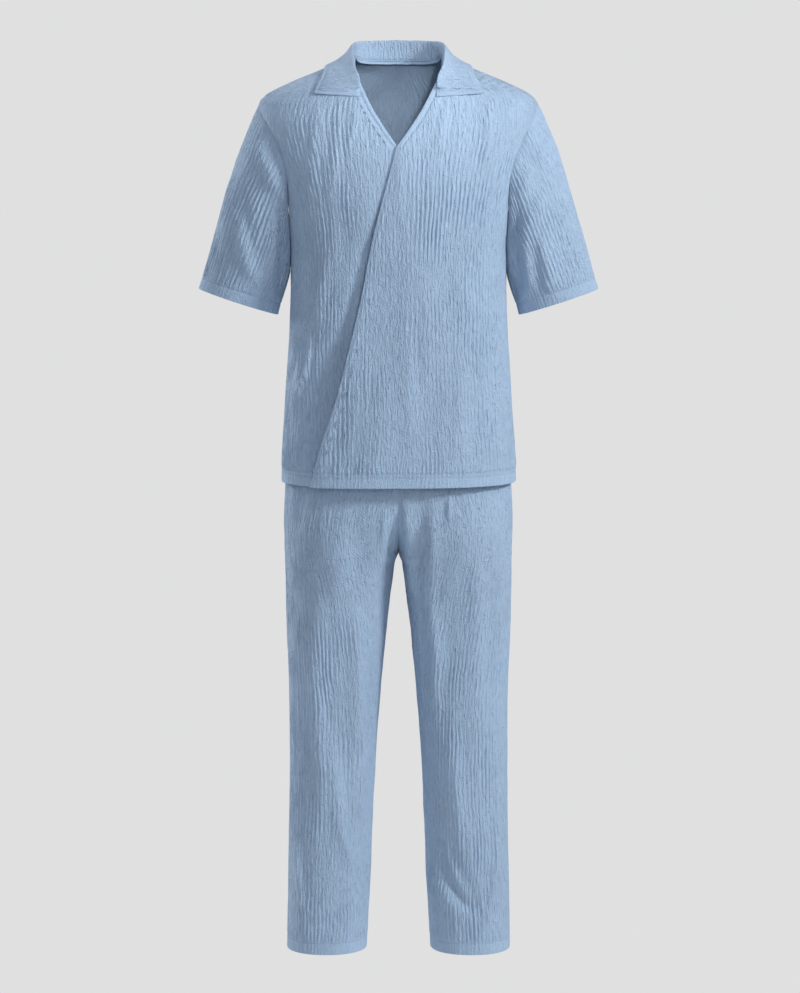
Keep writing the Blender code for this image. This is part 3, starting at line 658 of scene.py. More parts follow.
def cloth_object(name, patches, material, closed=0.0):
    """One sheet of cloth made of patches that share their edges' points; closed is the way round a tube."""
    faces = []
    start = 0
    for patch in patches:
        rows, columns = patch.rough.shape
        number = start + np.arange(rows * columns).reshape(rows, columns)
        if closed:
            number = np.concatenate([number, number[:, :1]], axis=1)
        corners = (number[:-1, :-1], number[1:, :-1], number[1:, 1:], number[:-1, 1:])
        quads = np.stack(corners, axis=-1).reshape(-1, 4)
        flat = patch.points.reshape(-1, 3)
        corner = quads - start
        turned = np.cross(flat[corner[:, 1]] - flat[corner[:, 3]], flat[corner[:, 2]] - flat[corner[:, 0]])
        if (turned * patch.normals.reshape(-1, 3)[corner[:, 0]]).sum() > 0:
            quads = quads[:, ::-1]
        faces.append(quads)
        start += rows * columns
    points = np.concatenate([patch.points.reshape(-1, 3) for patch in patches])
    grain = np.concatenate([patch.grain.reshape(-1, 2) for patch in patches])
    rough = np.concatenate([patch.rough.reshape(-1) for patch in patches])
    mesh = bpy.data.meshes.new(name)
    mesh.from_pydata((points * MM).tolist(), [], np.concatenate(faces).tolist())
    layer = mesh.uv_layers.new(name="grain")
    corners = np.zeros(len(mesh.loops), dtype=np.int32)
    mesh.loops.foreach_get("vertex_index", corners)
    drawn = grain[corners]
    if closed:
        quads = drawn.reshape(-1, 4, 2)
        furthest = quads[..., 0].max(axis=1, keepdims=True)
        quads[..., 0] += closed * (furthest - quads[..., 0] > closed / 2)
    layer.data.foreach_set("uv", (drawn * GRAIN_SCALE).astype(np.float32).ravel())
    shown = mesh.attributes.new("roughened", "FLOAT", "POINT")
    shown.data.foreach_set("value", rough.astype(np.float32))
    edit = bmesh.new()
    edit.from_mesh(mesh)
    bmesh.ops.remove_doubles(edit, verts=edit.verts, dist=0.002 * MM)
    bmesh.ops.recalc_face_normals(edit, faces=edit.faces)
    edit.to_mesh(mesh)
    edit.free()
    mesh.shade_smooth()
    return add_object(name, mesh, material)


def spaced(start, end, step, fine_length=0.0, fine_step=1.0):
    """Levels from start down to end, closer together over the last stretch."""
    fine_from = end + fine_length
    coarse = np.linspace(start, fine_from, max(int(round((start - fine_from) / step)), 1) + 1)
    if not fine_length:
        return coarse
    fine = np.linspace(fine_from, end, int(round(fine_length / fine_step)) + 1)
    return np.concatenate([coarse, fine[1:]])


def held_at(from_seam):
    """Folds and crinkle die out where a seam holds the cloth."""
    return smooth_step(-1, 8, from_seam) * smooth_step(0, 1.5, from_seam)


def near_hem(above_hem, fade):
    """How much crinkle shows near a turned hem, where two layers are sewn flat."""
    return mix(HEM_CRINKLE, 1, smooth_step(*fade, above_hem))


def sewn_lines(from_edge, distances, depth=0.9, half_width=1.3):
    """The shallow grooves that rows of stitching press into a hem."""
    return -sum(depth * np.exp(-((from_edge - distance) / half_width) ** 2) for distance in distances)


def armhole_heights(steps):
    """Heights along the armhole seam, evenly spaced along its front half; steps run from 0 to 1."""
    samples = np.linspace(SHOULDER_POINT, ARMPIT, 201)
    oval = torso_oval(samples)
    lengths = travelled(oval_point(oval, oval_angle(oval, ARMHOLE.at(samples)["front_x"], -1), samples))
    return np.interp(steps * lengths[-1], lengths, samples)


def edge_steps(levels, neck_steps, neck_rows):
    """The rows of a piece as steps down its edges: its neckline, then every level down to the hem."""
    down = (levels[1:] - levels[0]) / (levels[-1] - levels[0])
    neck = np.linspace(0, neck_steps, neck_rows)
    return np.concatenate([neck, neck_steps + (ALL_STEPS - neck_steps) * down])


def outer_edge(rows, face):
    """Angle and height down the armhole and then the side seam."""
    height = armhole_heights(np.clip(rows / ARMHOLE_STEPS, 0, 1))
    oval = torso_oval(height)
    x = ARMHOLE.at(height)["front_x" if face < 0 else "back_x"]
    on_side = (rows >= ARMHOLE_STEPS) | (rows <= 0)
    angle = np.where(on_side, QUARTER, np.abs(oval_angle(oval, x, face)))
    down = (rows - ARMHOLE_STEPS) / (ALL_STEPS - ARMHOLE_STEPS)
    return angle, np.where(rows > ARMHOLE_STEPS, mix(ARMPIT, PULLOVER_HEM_SIDE, down), height)


def front_inner_edge(rows, side):
    """Angle and height down the neckline and V and then the wrap."""
    step = np.clip(rows, 0, V_STEPS)
    place = V_EDGE.at(step)
    x = place["x"]
    if side < 0:
        x = -x + 2 * POINT_OF_V[0] * smooth_step(0, V_STEPS, step)
    share = np.clip((rows - V_STEPS) / (ALL_STEPS - V_STEPS), 0, 1)
    below_v = rows > V_STEPS
    height = np.where(below_v, mix(POINT_OF_V[1], PULLOVER_HEM_FRONT, share), place["height"])
    wrapped = WRAP_EDGE.at(height)["x"] + (UNDERLAP_AT_HEM * share if side < 0 else 0)
    angle = oval_angle(torso_oval(height), np.where(below_v, wrapped, x), -1)
    return np.where(rows <= 0, side * QUARTER, angle), height


def front(name, side, layer, seed, material):
    """One front, between its free edge and the armhole and side seam."""
    over = layer == "over"
    levels = spaced(POINT_OF_V[1], PULLOVER_HEM_FRONT, *FRONT_ROWS)
    rows = edge_steps(levels, V_STEPS, FRONT_NECK_ROWS)
    columns = np.linspace(0, 1, OVER_COLUMNS if over else UNDER_COLUMNS)
    inner_angle, inner_height = front_inner_edge(rows, side)
    outer_angle, outer_height = outer_edge(rows, -1)
    angle = mix(inner_angle[:, None], side * outer_angle[:, None], columns)
    height = mix(inner_height[:, None], outer_height[:, None], columns)
    points, normals = torso_surface(angle, height, layer)
    grain = np.stack([girth(angle), height], axis=-1)
    above_hem = height - mix(PULLOVER_HEM_FRONT, PULLOVER_HEM_SIDE, columns)
    from_edge = away_from(points[:, :1], points)
    held = held_at(np.minimum(away_from(points[:, -1:], points), away_from(points[:1], points)))
    band = np.where(rows[:, None] < V_STEPS, V_BAND, WRAP_BAND)
    rough = near_hem(above_hem, PULLOVER_HEM_FADE) * held
    rough = rough * mix(BAND_CRINKLE, 1, smooth_step(band - 2, band + 4, from_edge))
    lift = drape_lines(points, normals, OVER_FRONT_FOLDS if over else UNDER_FRONT_FOLDS, -1) * held
    if over:
        rim = WRAP_RIM
        raised = rim["rise"] * np.exp(-(from_edge / rim["half_width"]) ** 2)
        lift = lift + raised * smooth_step(rim["none"], rim["full"], height) * smooth_step(
            PULLOVER_HEM_FRONT + rim["hem_none"], PULLOVER_HEM_FRONT + rim["hem_full"], height)
    else:
        press, cover = WRAP_PRESS, COVERED
        beyond = points[..., 0] - WRAP_EDGE.at(height)["x"]
        covered = smooth_step(cover["from"], cover["to"], beyond)
        covered = covered * smooth_step(cover["none"], cover["full"], height)
        pressed = press["depth"] * np.exp(-((beyond - press["beyond"]) / press["half_width"]) ** 2)
        lift = lift - pressed * smooth_step(press["none"], press["full"], height)
        rough = rough * (1 - cover["damped"] * covered)
        lift = lift * (1 - cover["damped"] * covered) - cover["lowered"] * covered
    lift = lift + sewn_lines(above_hem, TWIN_STITCHING)
    puffed = 0.9 * np.exp(-((from_edge - 3) / 3.5) ** 2)
    groove = 1.3 * np.exp(-((from_edge - V_BAND) / 1.6) ** 2)
    lift = lift + smooth_step(-152, -138, height) * (puffed - groove) * V_BINDING[layer]
    patch = raised_patch(points + normals * lift[..., None], normals, grain, rough, seed)
    parts = finished(patch, ("last_column", "first_row"), (("last_row", HEM), ("first_column", FREE_EDGE)))
    return cloth_object(name, parts, material), patch


def back(name, seed, material):
    """The whole back, made as two halves that share the line down its middle."""
    parts = []
    halves = []
    levels = spaced(BACK_NECK_HEIGHT, PULLOVER_HEM_SIDE, *BACK_ROWS)
    rows = edge_steps(levels, NECK_STEPS, BACK_NECK_ROWS)
    columns = np.linspace(0, 1, BACK_COLUMNS)
    place = BACK_NECK.at(np.clip(rows, 0, NECK_STEPS))
    down = (rows - NECK_STEPS) / (ALL_STEPS - NECK_STEPS)
    middle = mix(BACK_NECK_HEIGHT, PULLOVER_HEM_SIDE, down)
    inner_height = np.where(rows > NECK_STEPS, middle, place["height"])
    inner_angle = np.abs(oval_angle(torso_oval(inner_height), np.maximum(place["x"], 1e-6), 1))
    inner_angle = np.where(rows >= NECK_STEPS, math.pi, np.where(rows <= 0, QUARTER, inner_angle))
    outer_angle, outer_height = outer_edge(rows, 1)
    angle = mix(inner_angle[:, None], outer_angle[:, None], columns)
    height = mix(inner_height[:, None], outer_height[:, None], columns)
    above_hem = height - PULLOVER_HEM_SIDE
    for side in (1, -1):
        points, normals = torso_surface(side * angle, height)
        grain = np.stack([girth(angle if side > 0 else FULL_TURN - angle), height], axis=-1)
        held = held_at(np.minimum(away_from(points[:, -1:], points), away_from(points[:1], points)))
        held = held * mix(0.35, 1, smooth_step(-10, -110, height))
        rough = near_hem(above_hem, PULLOVER_HEM_FADE) * held
        lift = drape_lines(points, normals, BACK_FOLDS, 1) * held + sewn_lines(above_hem, TWIN_STITCHING)
        patch = raised_patch(points + normals * lift[..., None], normals, grain, rough, seed)
        parts += finished(patch, ("last_column", "first_row"), (("last_row", HEM),))
        parts.append(seam_edge(patch, "first_column", slice(BACK_NECK_ROWS)))
        halves.append(patch)
    return cloth_object(name, parts, material), halves


def sleeve(name, side, seed, material):
    """A set-in sleeve: rings from the armhole seam to the cuff."""
    round_share = np.arange(SLEEVE_COLUMNS) / SLEEVE_COLUMNS
    in_front = round_share <= 0.5
    seam_row = ALL_STEPS * np.where(in_front, round_share, 1 - round_share)
    front_angle, height = outer_edge(seam_row, -1)
    back_angle, _ = outer_edge(seam_row, 1)
    seam, seam_normal = torso_surface(side * np.where(in_front, front_angle, back_angle), height)
    down = 1 - spaced(SLEEVE_LENGTH, 0, *SLEEVE_ROWS)[:, None] / SLEEVE_LENGTH
    turn = FULL_TURN * round_share[None, :]
    tilt = math.radians(CUFF["tilt"])
    out = np.array([side * math.cos(tilt), 0, math.sin(tilt)])
    forward = np.array([0, -1.0, 0])
    across, ahead = np.cos(turn)[..., None], np.sin(turn)[..., None]
    middle = np.array([side * CUFF["x"], CUFF["middle"], CUFF["height"]])
    cuff = middle + out * across * CUFF["half_width"] + forward * ahead * CUFF["half_depth"]
    sideways = np.where(across > 0, SLEEVE_SWELL["outer"], SLEEVE_SWELL["under"])
    swell = (down * (1 - down) ** 2)[..., None]
    points = mix(seam[None], cuff, down[..., None])
    points = points + (out * across * sideways + forward * ahead * SLEEVE_SWELL["side"]) * swell
    for _ in range(3):
        wanted = SLEEVE_CLEARANCE * smooth_step(ARMPIT + 60, ARMPIT, points[..., 2])
        direction = outward(torso_oval, points)
        oval = torso_oval(points[..., 2])
        measure = oval_measure(oval, points)
        growth = oval_measure(oval, points + direction) - measure
        distance = (measure - 1) / np.maximum(growth, 1e-6)
        push = np.where((distance < wanted) & (wanted > 0) & (down > 0), wanted - distance, 0)
        points = points + direction * push[..., None]
    around = np.roll(points, -1, axis=1) - np.roll(points, 1, axis=1)
    normals = unit(np.cross(around, np.gradient(points, axis=0))) * side
    # At the seam the sleeve stands off the body by a thread's width, more where it hangs back against it.
    facing = ((1 - (normals[0] * seam_normal).sum(axis=-1)) / 2)[:, None]
    along = unit(points[1] - points[0])
    points[0] = points[0] + along * 0.3 * (1 - facing) + seam_normal * 0.3 * (0.6 + 1.6 * facing)
    share = smooth_step(0.15, 0.5, facing)
    normals[0] = unit(seam_normal * (1 - share) + normals[0] * (share + 0.001))
    lengths = travelled(points)
    grain = np.stack(np.broadcast_arrays(round_share[None, :] * SLEEVE_GIRTH, -lengths), axis=-1)
    from_cuff = lengths[-1:] - lengths
    rough = near_hem(from_cuff, CUFF_FADE) * held_at(lengths)
    behind = [([(x + 4 * side, height + 12) for x, height in line], width, rise)
              for line, width, rise in SLEEVE_FOLDS[side]]
    folded = drape_lines(points, normals, SLEEVE_FOLDS[side], -1) + drape_lines(points, normals, behind, 1)
    folded = folded * smooth_step(0, 14, lengths) + sewn_lines(from_cuff, [SINGLE_STITCHING])
    # The crinkle runs over into itself along the sleeve's own seam.
    turnover = smooth_step(0, 12, (1 - round_share) * SLEEVE_GIRTH)
    lift = mix(crinkle(grain - [SLEEVE_GIRTH, 0], seed), crinkle(grain, seed), turnover)
    raised = folded + lift * rough * CRINKLE_HEIGHT
    patch = Patch(points + normals * raised[..., None], normals, grain, rough)
    draw_back(patch, "first_row", SEAM[0] / 2)
    parts = [patch, seam_edge(patch, "first_row"), turned_edge(patch, "last_row", HEM)]
    return cloth_object(name, parts, material, SLEEVE_GIRTH), patch


def smooth_profile(knots, count):
    """A smooth curve through each row of knots, evenly sampled by their distances."""
    steps = np.linalg.norm(np.diff(knots, axis=1), axis=-1)
    ahead = np.concatenate([knots[:, 1:], 2 * knots[:, -1:] - knots[:, -2:-1]], axis=1)
    behind = np.concatenate([2 * knots[:, :1] - knots[:, 1:2], knots[:, :-1]], axis=1)
    lean = (ahead - behind) / 2
    places = np.linspace(0, 1, count)
    result = np.zeros((len(knots), count, 3))
    for row in range(len(knots)):
        lengths = np.concatenate([[0], np.cumsum(np.maximum(steps[row], 1e-4))])
        where = np.interp(places, lengths / lengths[-1], np.arange(len(lengths)))
        low = np.minimum(where.astype(int), len(lengths) - 2)
        share = (where - low)[:, None]
        start, end = knots[row, low], knots[row, low + 1]
        blend = share * share * (3 - 2 * share)
        result[row] = (start + (end - start) * blend + lean[row, low] * share * (1 - share) ** 2
                       + lean[row, low + 1] * share * share * (share - 1))
    return result


def eased(values, reach=9):
    """Values along a line, with their kinks rounded off and their ends kept."""
    before = 2 * values[0] - values[reach:0:-1]
    after = 2 * values[-1] - values[-2:-reach - 2:-1]
    width = 2 * reach + 1
    return np.convolve(np.concatenate([before, values, after]), np.ones(width) / width, "valid")


def edge_angle(x, height, behind):
    """The angle, never below 0, at which the body's oval is x wide, at the front or behind."""
    oval = torso_oval(height)
    x = np.maximum(x, 1e-6)
    return np.abs(np.where(behind, oval_angle(oval, x, 1), oval_angle(oval, x, -1)))


def collar_lines(steps, side):
    """The knots of the collar's cross-sections: foot, stand and fall, as in the solid under it."""
    row = COLLAR.at(steps)
    neck_angle = edge_angle(row["neck_x"], row["neck_height"], row["neck_side"] > 0)
    rim_angle = eased(edge_angle(row["edge_x"], row["edge_height"], row["edge_side"] > 0))
    rim_height = eased(row["edge_height"])
    neck, direction = torso_surface(side * neck_angle, row["neck_height"])
    level = unit(direction * [1, 1, 0])
    forward = smooth_step(0.2, -1, row["neck_side"])[:, None]
    rise = unit(mix(np.array([0, 0, 1.0]), direction, forward))
    stand = row["stand"][:, None]
    flat = smooth_step(5, 0.6, row["stand"])[:, None]
    foot = neck + direction * (COLLAR_SEAT + flat * (COLLAR_LAY - COLLAR_SEAT))
    knots = [foot, foot + rise * stand * 0.5, foot + rise * stand]
    for step in range(5):
        share = step / 4
        angle = side * mix(neck_angle, rim_angle, share)
        height = mix(row["neck_height"], rim_height, share)
        base, out = torso_surface(angle, height)
        roll = level * COLLAR_ROLL * (1 - share) * (1 - flat)
        slack = rise * stand * (1 - share) ** row["curl"][:, None]
        lay = mix(COLLAR_SEAT, COLLAR_LAY, np.maximum(smooth_step(0, 0.5, share), flat))
        lay = lay + COLLAR_EDGE_LIFT * smooth_step(0.2, 1, share)
        knots.append(base + out * lay + slack + roll)
    knots = np.array(knots).transpose(1, 0, 2)
    blend = smooth_step(0.35, 0.65, flat)[..., None]
    spread = np.array([0, 0.25, 0.5, 0.75])[None, :, None]
    straight = mix(knots[:, :1], knots[:, 4:5], spread)
    knots[:, :4] = mix(knots[:, :4], straight, blend)
    return knots


def collar(name, seed, material):
    """The whole collar: it stands up from the neckline, rolls over and falls flat on the body."""
    steps = np.linspace(0, 6, COLLAR_ROWS)
    knots = np.concatenate([collar_lines(steps, -1)[::-1][:-1], collar_lines(steps, 1)])
    points = smooth_profile(knots, COLLAR_COLUMNS)
    normals = unit(np.cross(np.gradient(points, axis=0), np.gradient(points, axis=1)))
    lengths = travelled(points, 1)
    # Distances from the middle of the back, along the fold line.
    along = travelled(points[:, COLLAR_FOLD_COLUMN])
    along = along - along[len(along) // 2]
    grain = np.stack([np.broadcast_to(along[:, None], lengths.shape), lengths], axis=-1)
    from_end = along[-1] - np.abs(along)[:, None]
    from_edge = np.minimum(lengths[:, -1:] - lengths, from_end)
    rough = mix(COLLAR_EDGE_CRINKLE, 1, smooth_step(4, 9, from_edge)) * smooth_step(0, 6, lengths)
    sewn = sewn_lines(np.minimum(lengths[:, -1:] - lengths, np.abs(from_end)), [COLLAR_STITCHING], 0.4, 1.0)
    points = points + normals * sewn[..., None]
    patch = raised_patch(points, normals, grain, rough, seed, COLLAR_CRINKLE_HEIGHT)
    parts = finished(patch, (), (("first_column", COLLAR_FOOT), ("last_column", COLLAR_EDGE),
                                 ("first_row", COLLAR_EDGE), ("last_row", COLLAR_EDGE)))
    return cloth_object(name, parts, material), patch


def trouser_panel(name, side, face, seed, material):
    """A front or back of one leg, from the waistband to the hem, between its middle and side seams."""
    ahead = face == "front"
    seat = spaced(WAIST_SEAM, CROTCH, SEAT_ROW)
    leg = spaced(CROTCH, TROUSER_HEM, *LEG_ROWS)[1:]
    height = np.concatenate([seat, leg])[:, None]
    oval = leg_oval(height, side, face)
    share = np.minimum(np.abs(oval["centre"]) / oval["half_width"], 1)
    start = np.where(height > CROTCH, -np.arcsin(share ** (oval["roundness"] / 2)), -QUARTER)
    angle = mix(start, QUARTER, np.linspace(0, 1, LEG_COLUMNS))
    levels = np.broadcast_to(height, angle.shape)
    bare = oval_point(oval, side * (angle if ahead else math.pi - angle), levels)
    normals = outward(lambda level: leg_oval(level, side, face), bare)
    fade = smooth_step(-830, -700, levels) if not ahead else 0
    raised = relief(bare, TROUSER_LINES) * (1 - fade)
    points = bare + normals * raised[..., None]
    from_side = travelled(points[:, ::-1], 1)[:, ::-1]
    grain = np.stack([from_side, levels], axis=-1)
    above_hem = levels - TROUSER_HEM
    held = held_at(np.minimum(from_side, from_side[:, :1] - from_side))
    rough = near_hem(above_hem, TROUSER_HEM_FADE) * held
    folds, facing = (TROUSER_FRONT_FOLDS, -1) if ahead else (TROUSER_BACK_FOLDS, 1)
    lift = TROUSER_FOLD_STRENGTH * drape_lines(points, normals, folds, facing) * held
    lift = lift + sewn_lines(above_hem, [SINGLE_STITCHING])
    patch = raised_patch(points + normals * lift[..., None], normals, grain, rough, seed)
    patch.points[..., 0] = side * np.maximum(side * patch.points[..., 0], SEAM_HALF_GAP)
    patch.points[:len(seat), 0, 0] = side * SEAM_HALF_GAP
    parts = finished(patch, ("first_column", "last_column", "first_row"), (("last_row", HEM),))
    # The middle seam's strips reach just past each other, so nothing shows between the legs' panels.
    middle = parts[1]
    middle.points[3:, :len(seat), 0] = -side * SEAM_HALF_GAP
    return cloth_object(name, parts, material), patch


def waistband(name, seed, material):
    """The elastic casing round the waist, gathered in small upright pleats."""
    height = np.linspace(WAIST_TOP, WAIST_SEAM, WAIST_ROWS)[:, None]
    turn = np.arange(WAIST_COLUMNS)[None, :] / WAIST_COLUMNS
    levels = np.broadcast_to(height, (WAIST_ROWS, WAIST_COLUMNS))
    bare = oval_point(seat_oval(height), np.broadcast_to(FULL_TURN * turn, levels.shape), levels)
    normals = outward(seat_oval, bare)
    share = (levels - WAIST_SEAM) / (WAIST_TOP - WAIST_SEAM)
    sway = 0.4 * value_noise(levels / 9, turn * 60, seed)
    pleats = value_noise(turn * WAIST_PLEATS + sway, np.full(levels.shape, 3.0), seed + 1)
    closing = smooth_step(0, 0.02, np.minimum(turn, 1 - turn))
    raised = 0.9 * pleats * closing * np.sin(math.pi * np.clip(share, 0.1, 0.9))
    grain = np.stack([np.broadcast_to(turn * WAIST_GIRTH, levels.shape), levels], axis=-1)
    patch = Patch(bare + normals * raised[..., None], normals, grain, np.ones(levels.shape))
    parts = finished(patch, ("last_row",), (("first_row", CASING_TOP),))
    return cloth_object(name, parts, material, WAIST_GIRTH)


def stitches(name, lines, material, length=2.5, gap=1.0, width=0.5):
    """Rows of short stitches lying on the cloth, along lines of points with their outward directions."""
    points, faces = [], []
    corners = np.radians((0, 60, 120, 180, 240, 300))
    for line, normals in lines:
        lengths = travelled(line)
        starts = np.arange(1.0, lengths[-1] - length, length + gap)
        start, middle, end = (np.stack([np.interp(level, lengths, line[:, k]) for k in range(3)], axis=-1)
                              for level in (starts, starts + length / 2, starts + length))
        out = unit(np.stack([np.interp(starts, lengths, normals[:, k]) for k in range(3)], axis=-1))
        beside = unit(np.cross(unit(end - start), out))
        # Each stitch is a spindle of four rings: where it is, how thick and how high above the cloth.
        rings = ((start, 0.15, 0.0), (mix(start, middle, 0.4), 1, 0.2), (mix(end, middle, 0.4), 1, 0.2),
                 (end, 0.15, 0.0))
        base = sum(len(block) for block in points)
        count = len(starts)
        for place, size, rise in rings:
            radius = width / 2 * size
            for angle in corners:
                up = rise + math.sin(angle) * radius
                points.append(place + beside * math.cos(angle) * radius + out * up)
        index = np.arange(count)
        for ring in range(len(rings) - 1):
            for corner in range(len(corners)):
                near = base + (ring * 6 + corner) * count + index
                beyond = base + (ring * 6 + (corner + 1) % 6) * count + index
                faces.append(np.stack([near, beyond, beyond + 6 * count, near + 6 * count], axis=-1))
    mesh = bpy.data.meshes.new(name)
    mesh.from_pydata((np.concatenate(points) * MM).tolist(), [], np.concatenate(faces).tolist())
    mesh.shade_smooth()
    return add_object(name, mesh, material)


def row_line(patch, distance, edge="last_row"):
    """The line that runs that far inside an edge of a patch, with its outward directions."""
    points, normals = patch.points, patch.normals
    if edge in ("last_column", "first_column"):
        points, normals = points.transpose(1, 0, 2), normals.transpose(1, 0, 2)
    if edge in ("last_row", "last_column"):
        points, normals = points[::-1], normals[::-1]
    lengths = travelled(points)
    index = np.clip((lengths < distance).sum(axis=0) - 1, 0, len(points) - 2)
    column = np.arange(points.shape[1])
    span = np.maximum(lengths[index + 1, column] - lengths[index, column], 1e-6)
    share = ((distance - lengths[index, column]) / span)[:, None]
    return mix(points[index, column], points[index + 1, column], share), normals[index, column]


def srgb(code):
    """A hex colour as linear red, green and blue."""
    values = [int(code[k:k + 2], 16) / 255 for k in (1, 3, 5)]
    return [value / 12.92 if value <= 0.04045 else ((value + 0.055) / 1.055) ** 2.4 for value in values]


def add_node(tree, kind, settings=None, inputs=None, links=None, stops=()):
    """A shader node with its settings, its input values, what is linked to its inputs and a ramp's stops."""
    node = tree.nodes.new(kind)
    for name, value in (settings or {}).items():
        setattr(node, name, value)
    for name, value in (inputs or {}).items():
        node.inputs[name].default_value = value
    for name, socket in (links or {}).items():
        tree.links.new(socket, node.inputs[name])
    if stops:
        elements = node.color_ramp.elements
        while len(elements) < len(stops):
            elements.new(0.5)
        for element, (place, colour) in zip(elements, stops):
            element.position = place
            element.color = (*colour, 1)
    return node


def new_material(name, values):
    """A material, its nodes and its shader, with the values set on the shader's own sockets."""
    material = bpy.data.materials.new(name)
    material.use_nodes = True
    shader = material.node_tree.nodes["Principled BSDF"]
    for socket, value in values.items():
        shader.inputs[socket].default_value = value
    return material, material.node_tree, shader


# The bump distance of the creases and of the weave, in metres.
CREASE_BUMP, WEAVE_BUMP = 0.0036, 0.0017
# Each pattern's repeats in one unit of the grain map, across and along the cloth.
PATTERNS = {
    # Fine creases 2.6 mm wide and about 17 mm long, between the larger ones of the mesh. They also paint
    # shade into the colour of their hollows and a highlight onto their ridges.
    "creases": ((38, 6, 1), {"Detail": 2.0, "Distortion": 0.15}),
    # The pebbled weave, drawn at about 2 mm: its real 1 mm is too fine for a picture of the whole set.
    "weave": ((50, 36, 1), {"Detail": 1.0}),
    # Slightly uneven dye, in patches some 60 mm wide and 140 mm long.
    "dye": ((1.6, 0.7, 1), {"Detail": 2.0}),
}


def crinkled_cotton(name, colour, painted_ridge_highlight, dark):
    """Crinkled cotton gauze, woven: thin and matt, with bumped creases that catch the lamps and a faint
    fuzz. Its colour has painted shade in the creases' hollows and a painted highlight on their ridges.
    """
    material, tree, shader = new_material(name, {
        "Roughness": 0.88, "IOR": 1.45, "Specular IOR Level": 0.25, "Sheen Weight": 0.12,
        "Sheen Roughness": 0.5})
    grain = add_node(tree, "ShaderNodeUVMap", {"uv_map": "grain"})
    shown = add_node(tree, "ShaderNodeAttribute", {"attribute_name": "roughened"})
    drawn = {}
    for pattern, (repeats, values) in PATTERNS.items():
        spread = add_node(tree, "ShaderNodeMapping", inputs={"Scale": repeats},
                          links={"Vector": grain.outputs[0]})
        noise = add_node(tree, "ShaderNodeTexNoise", inputs={"Scale": 1.0, "Roughness": 0.5, **values},
                         links={"Vector": spread.outputs[0]})
        drawn[pattern] = noise.outputs["Fac"]
    # Painted shade and highlight: the crease pattern that bumps the cloth also darkens its colour in the
    # hollows and lightens it on the ridges.
    tone = add_node(tree, "ShaderNodeValToRGB", links={"Fac": drawn["creases"]},
                    stops=[(0.25, srgb(dark)), (0.5, srgb(colour)), (0.75, srgb(painted_ridge_highlight))])
    dyed = add_node(tree, "ShaderNodeValToRGB", links={"Fac": drawn["dye"]},
                    stops=[(0.3, (0.93, 0.93, 0.93)), (0.7, (1, 1, 1))])
    mixed = add_node(tree, "ShaderNodeMix", {"data_type": "RGBA", "blend_type": "MULTIPLY"}, {0: 1.0},
                     {6: tone.outputs["Color"], 7: dyed.outputs["Color"]})
    tree.links.new(mixed.outputs[2], shader.inputs["Base Color"])
    height = add_node(tree, "ShaderNodeMath", {"operation": "MULTIPLY"}, links={
        0: drawn["creases"], 1: shown.outputs["Fac"]})
    creased = add_node(tree, "ShaderNodeBump", inputs={"Strength": 1.0, "Distance": CREASE_BUMP}, links={
        "Height": height.outputs[0]})
    woven = add_node(tree, "ShaderNodeBump", inputs={"Strength": 1.0, "Distance": WEAVE_BUMP}, links={
        "Height": drawn["weave"], "Normal": creased.outputs["Normal"]})
    tree.links.new(woven.outputs["Normal"], shader.inputs["Normal"])
    return material


def speckled(name, values, colour, scale, dark):
    """A plain material whose colour varies a little over the object's own space."""
    material, tree, shader = new_material(name, values)
    place = add_node(tree, "ShaderNodeTexCoord")
    noise = add_node(tree, "ShaderNodeTexNoise", inputs={"Scale": scale, "Detail": 1.0}, links={
        "Vector": place.outputs["Object"]})
    tone = add_node(tree, "ShaderNodeValToRGB", links={"Fac": noise.outputs["Fac"]},
                    stops=[(0.3, [dark * value for value in srgb(colour)]), (0.7, srgb(colour))])
    tree.links.new(tone.outputs["Color"], shader.inputs["Base Color"])
    return material


def sewing_thread(name, colour):
    """Spun polyester sewing thread, a little smoother than the cloth; its twist is about 1 mm long."""
    return speckled(name, {"Roughness": 0.6, "IOR": 1.5}, colour, 900.0, 0.8)


def studio_paper(name, colour):
    """Matt seamless paper, almost smooth."""
    return speckled(name, {"Roughness": 0.95, "Specular IOR Level": 0.1}, colour, 3.0, 0.99)


def studio():
    """A pale floor, soft lamps from the right, the front and behind, and even pale air all round."""
    mesh = bpy.data.meshes.new("studio_floor")
    corners = [(x * FLOOR_HALF, y * FLOOR_HALF, FLOOR_LEVEL)
               for x, y in ((-1, -1), (1, -1), (1, 1), (-1, 1))]
    mesh.from_pydata(corners, [], [(0, 1, 2, 3)])
    floor = add_object("studio_floor", mesh, studio_paper("pale_seamless_paper", "#F2F2F2"))
    for name, (kind, place, aim, power, size) in LAMPS.items():
        data = bpy.data.lights.new(name, kind)
        data.energy = power
        if kind == "AREA":
            data.shape = "SQUARE"
            data.size = size
        else:
            data.spot_size = math.radians(size)
            data.spot_blend = 1.0
            data.shadow_soft_size = SPOT_SOFTNESS
        lamp = bpy.data.objects.new(name, data)
        lamp.location = place
        lamp.rotation_euler = (Vector(aim) - Vector(place)).to_track_quat("-Z", "Y").to_euler()
        lamp.visible_camera = False
        bpy.context.scene.collection.objects.link(lamp)
    world = bpy.data.worlds.new("studio_air")
    world.use_nodes = True
    tree = world.node_tree
    air = tree.nodes["Background"]
    air.inputs["Color"].default_value = AIR_COLOUR
    air.inputs["Strength"].default_value = AIR_STRENGTH
    paper = add_node(tree, "ShaderNodeBackground", inputs={"Color": (*srgb("#E0E0E1"), 1), "Strength": 1.0})
    seen = add_node(tree, "ShaderNodeLightPath")
    both = add_node(tree, "ShaderNodeMixShader", links={
        0: seen.outputs["Is Camera Ray"], 1: air.outputs[0], 2: paper.outputs[0]})
    tree.links.new(both.outputs[0], tree.nodes["World Output"].inputs["Surface"])
    bpy.context.scene.world = world
    bpy.context.scene.view_settings.view_transform = "Standard"


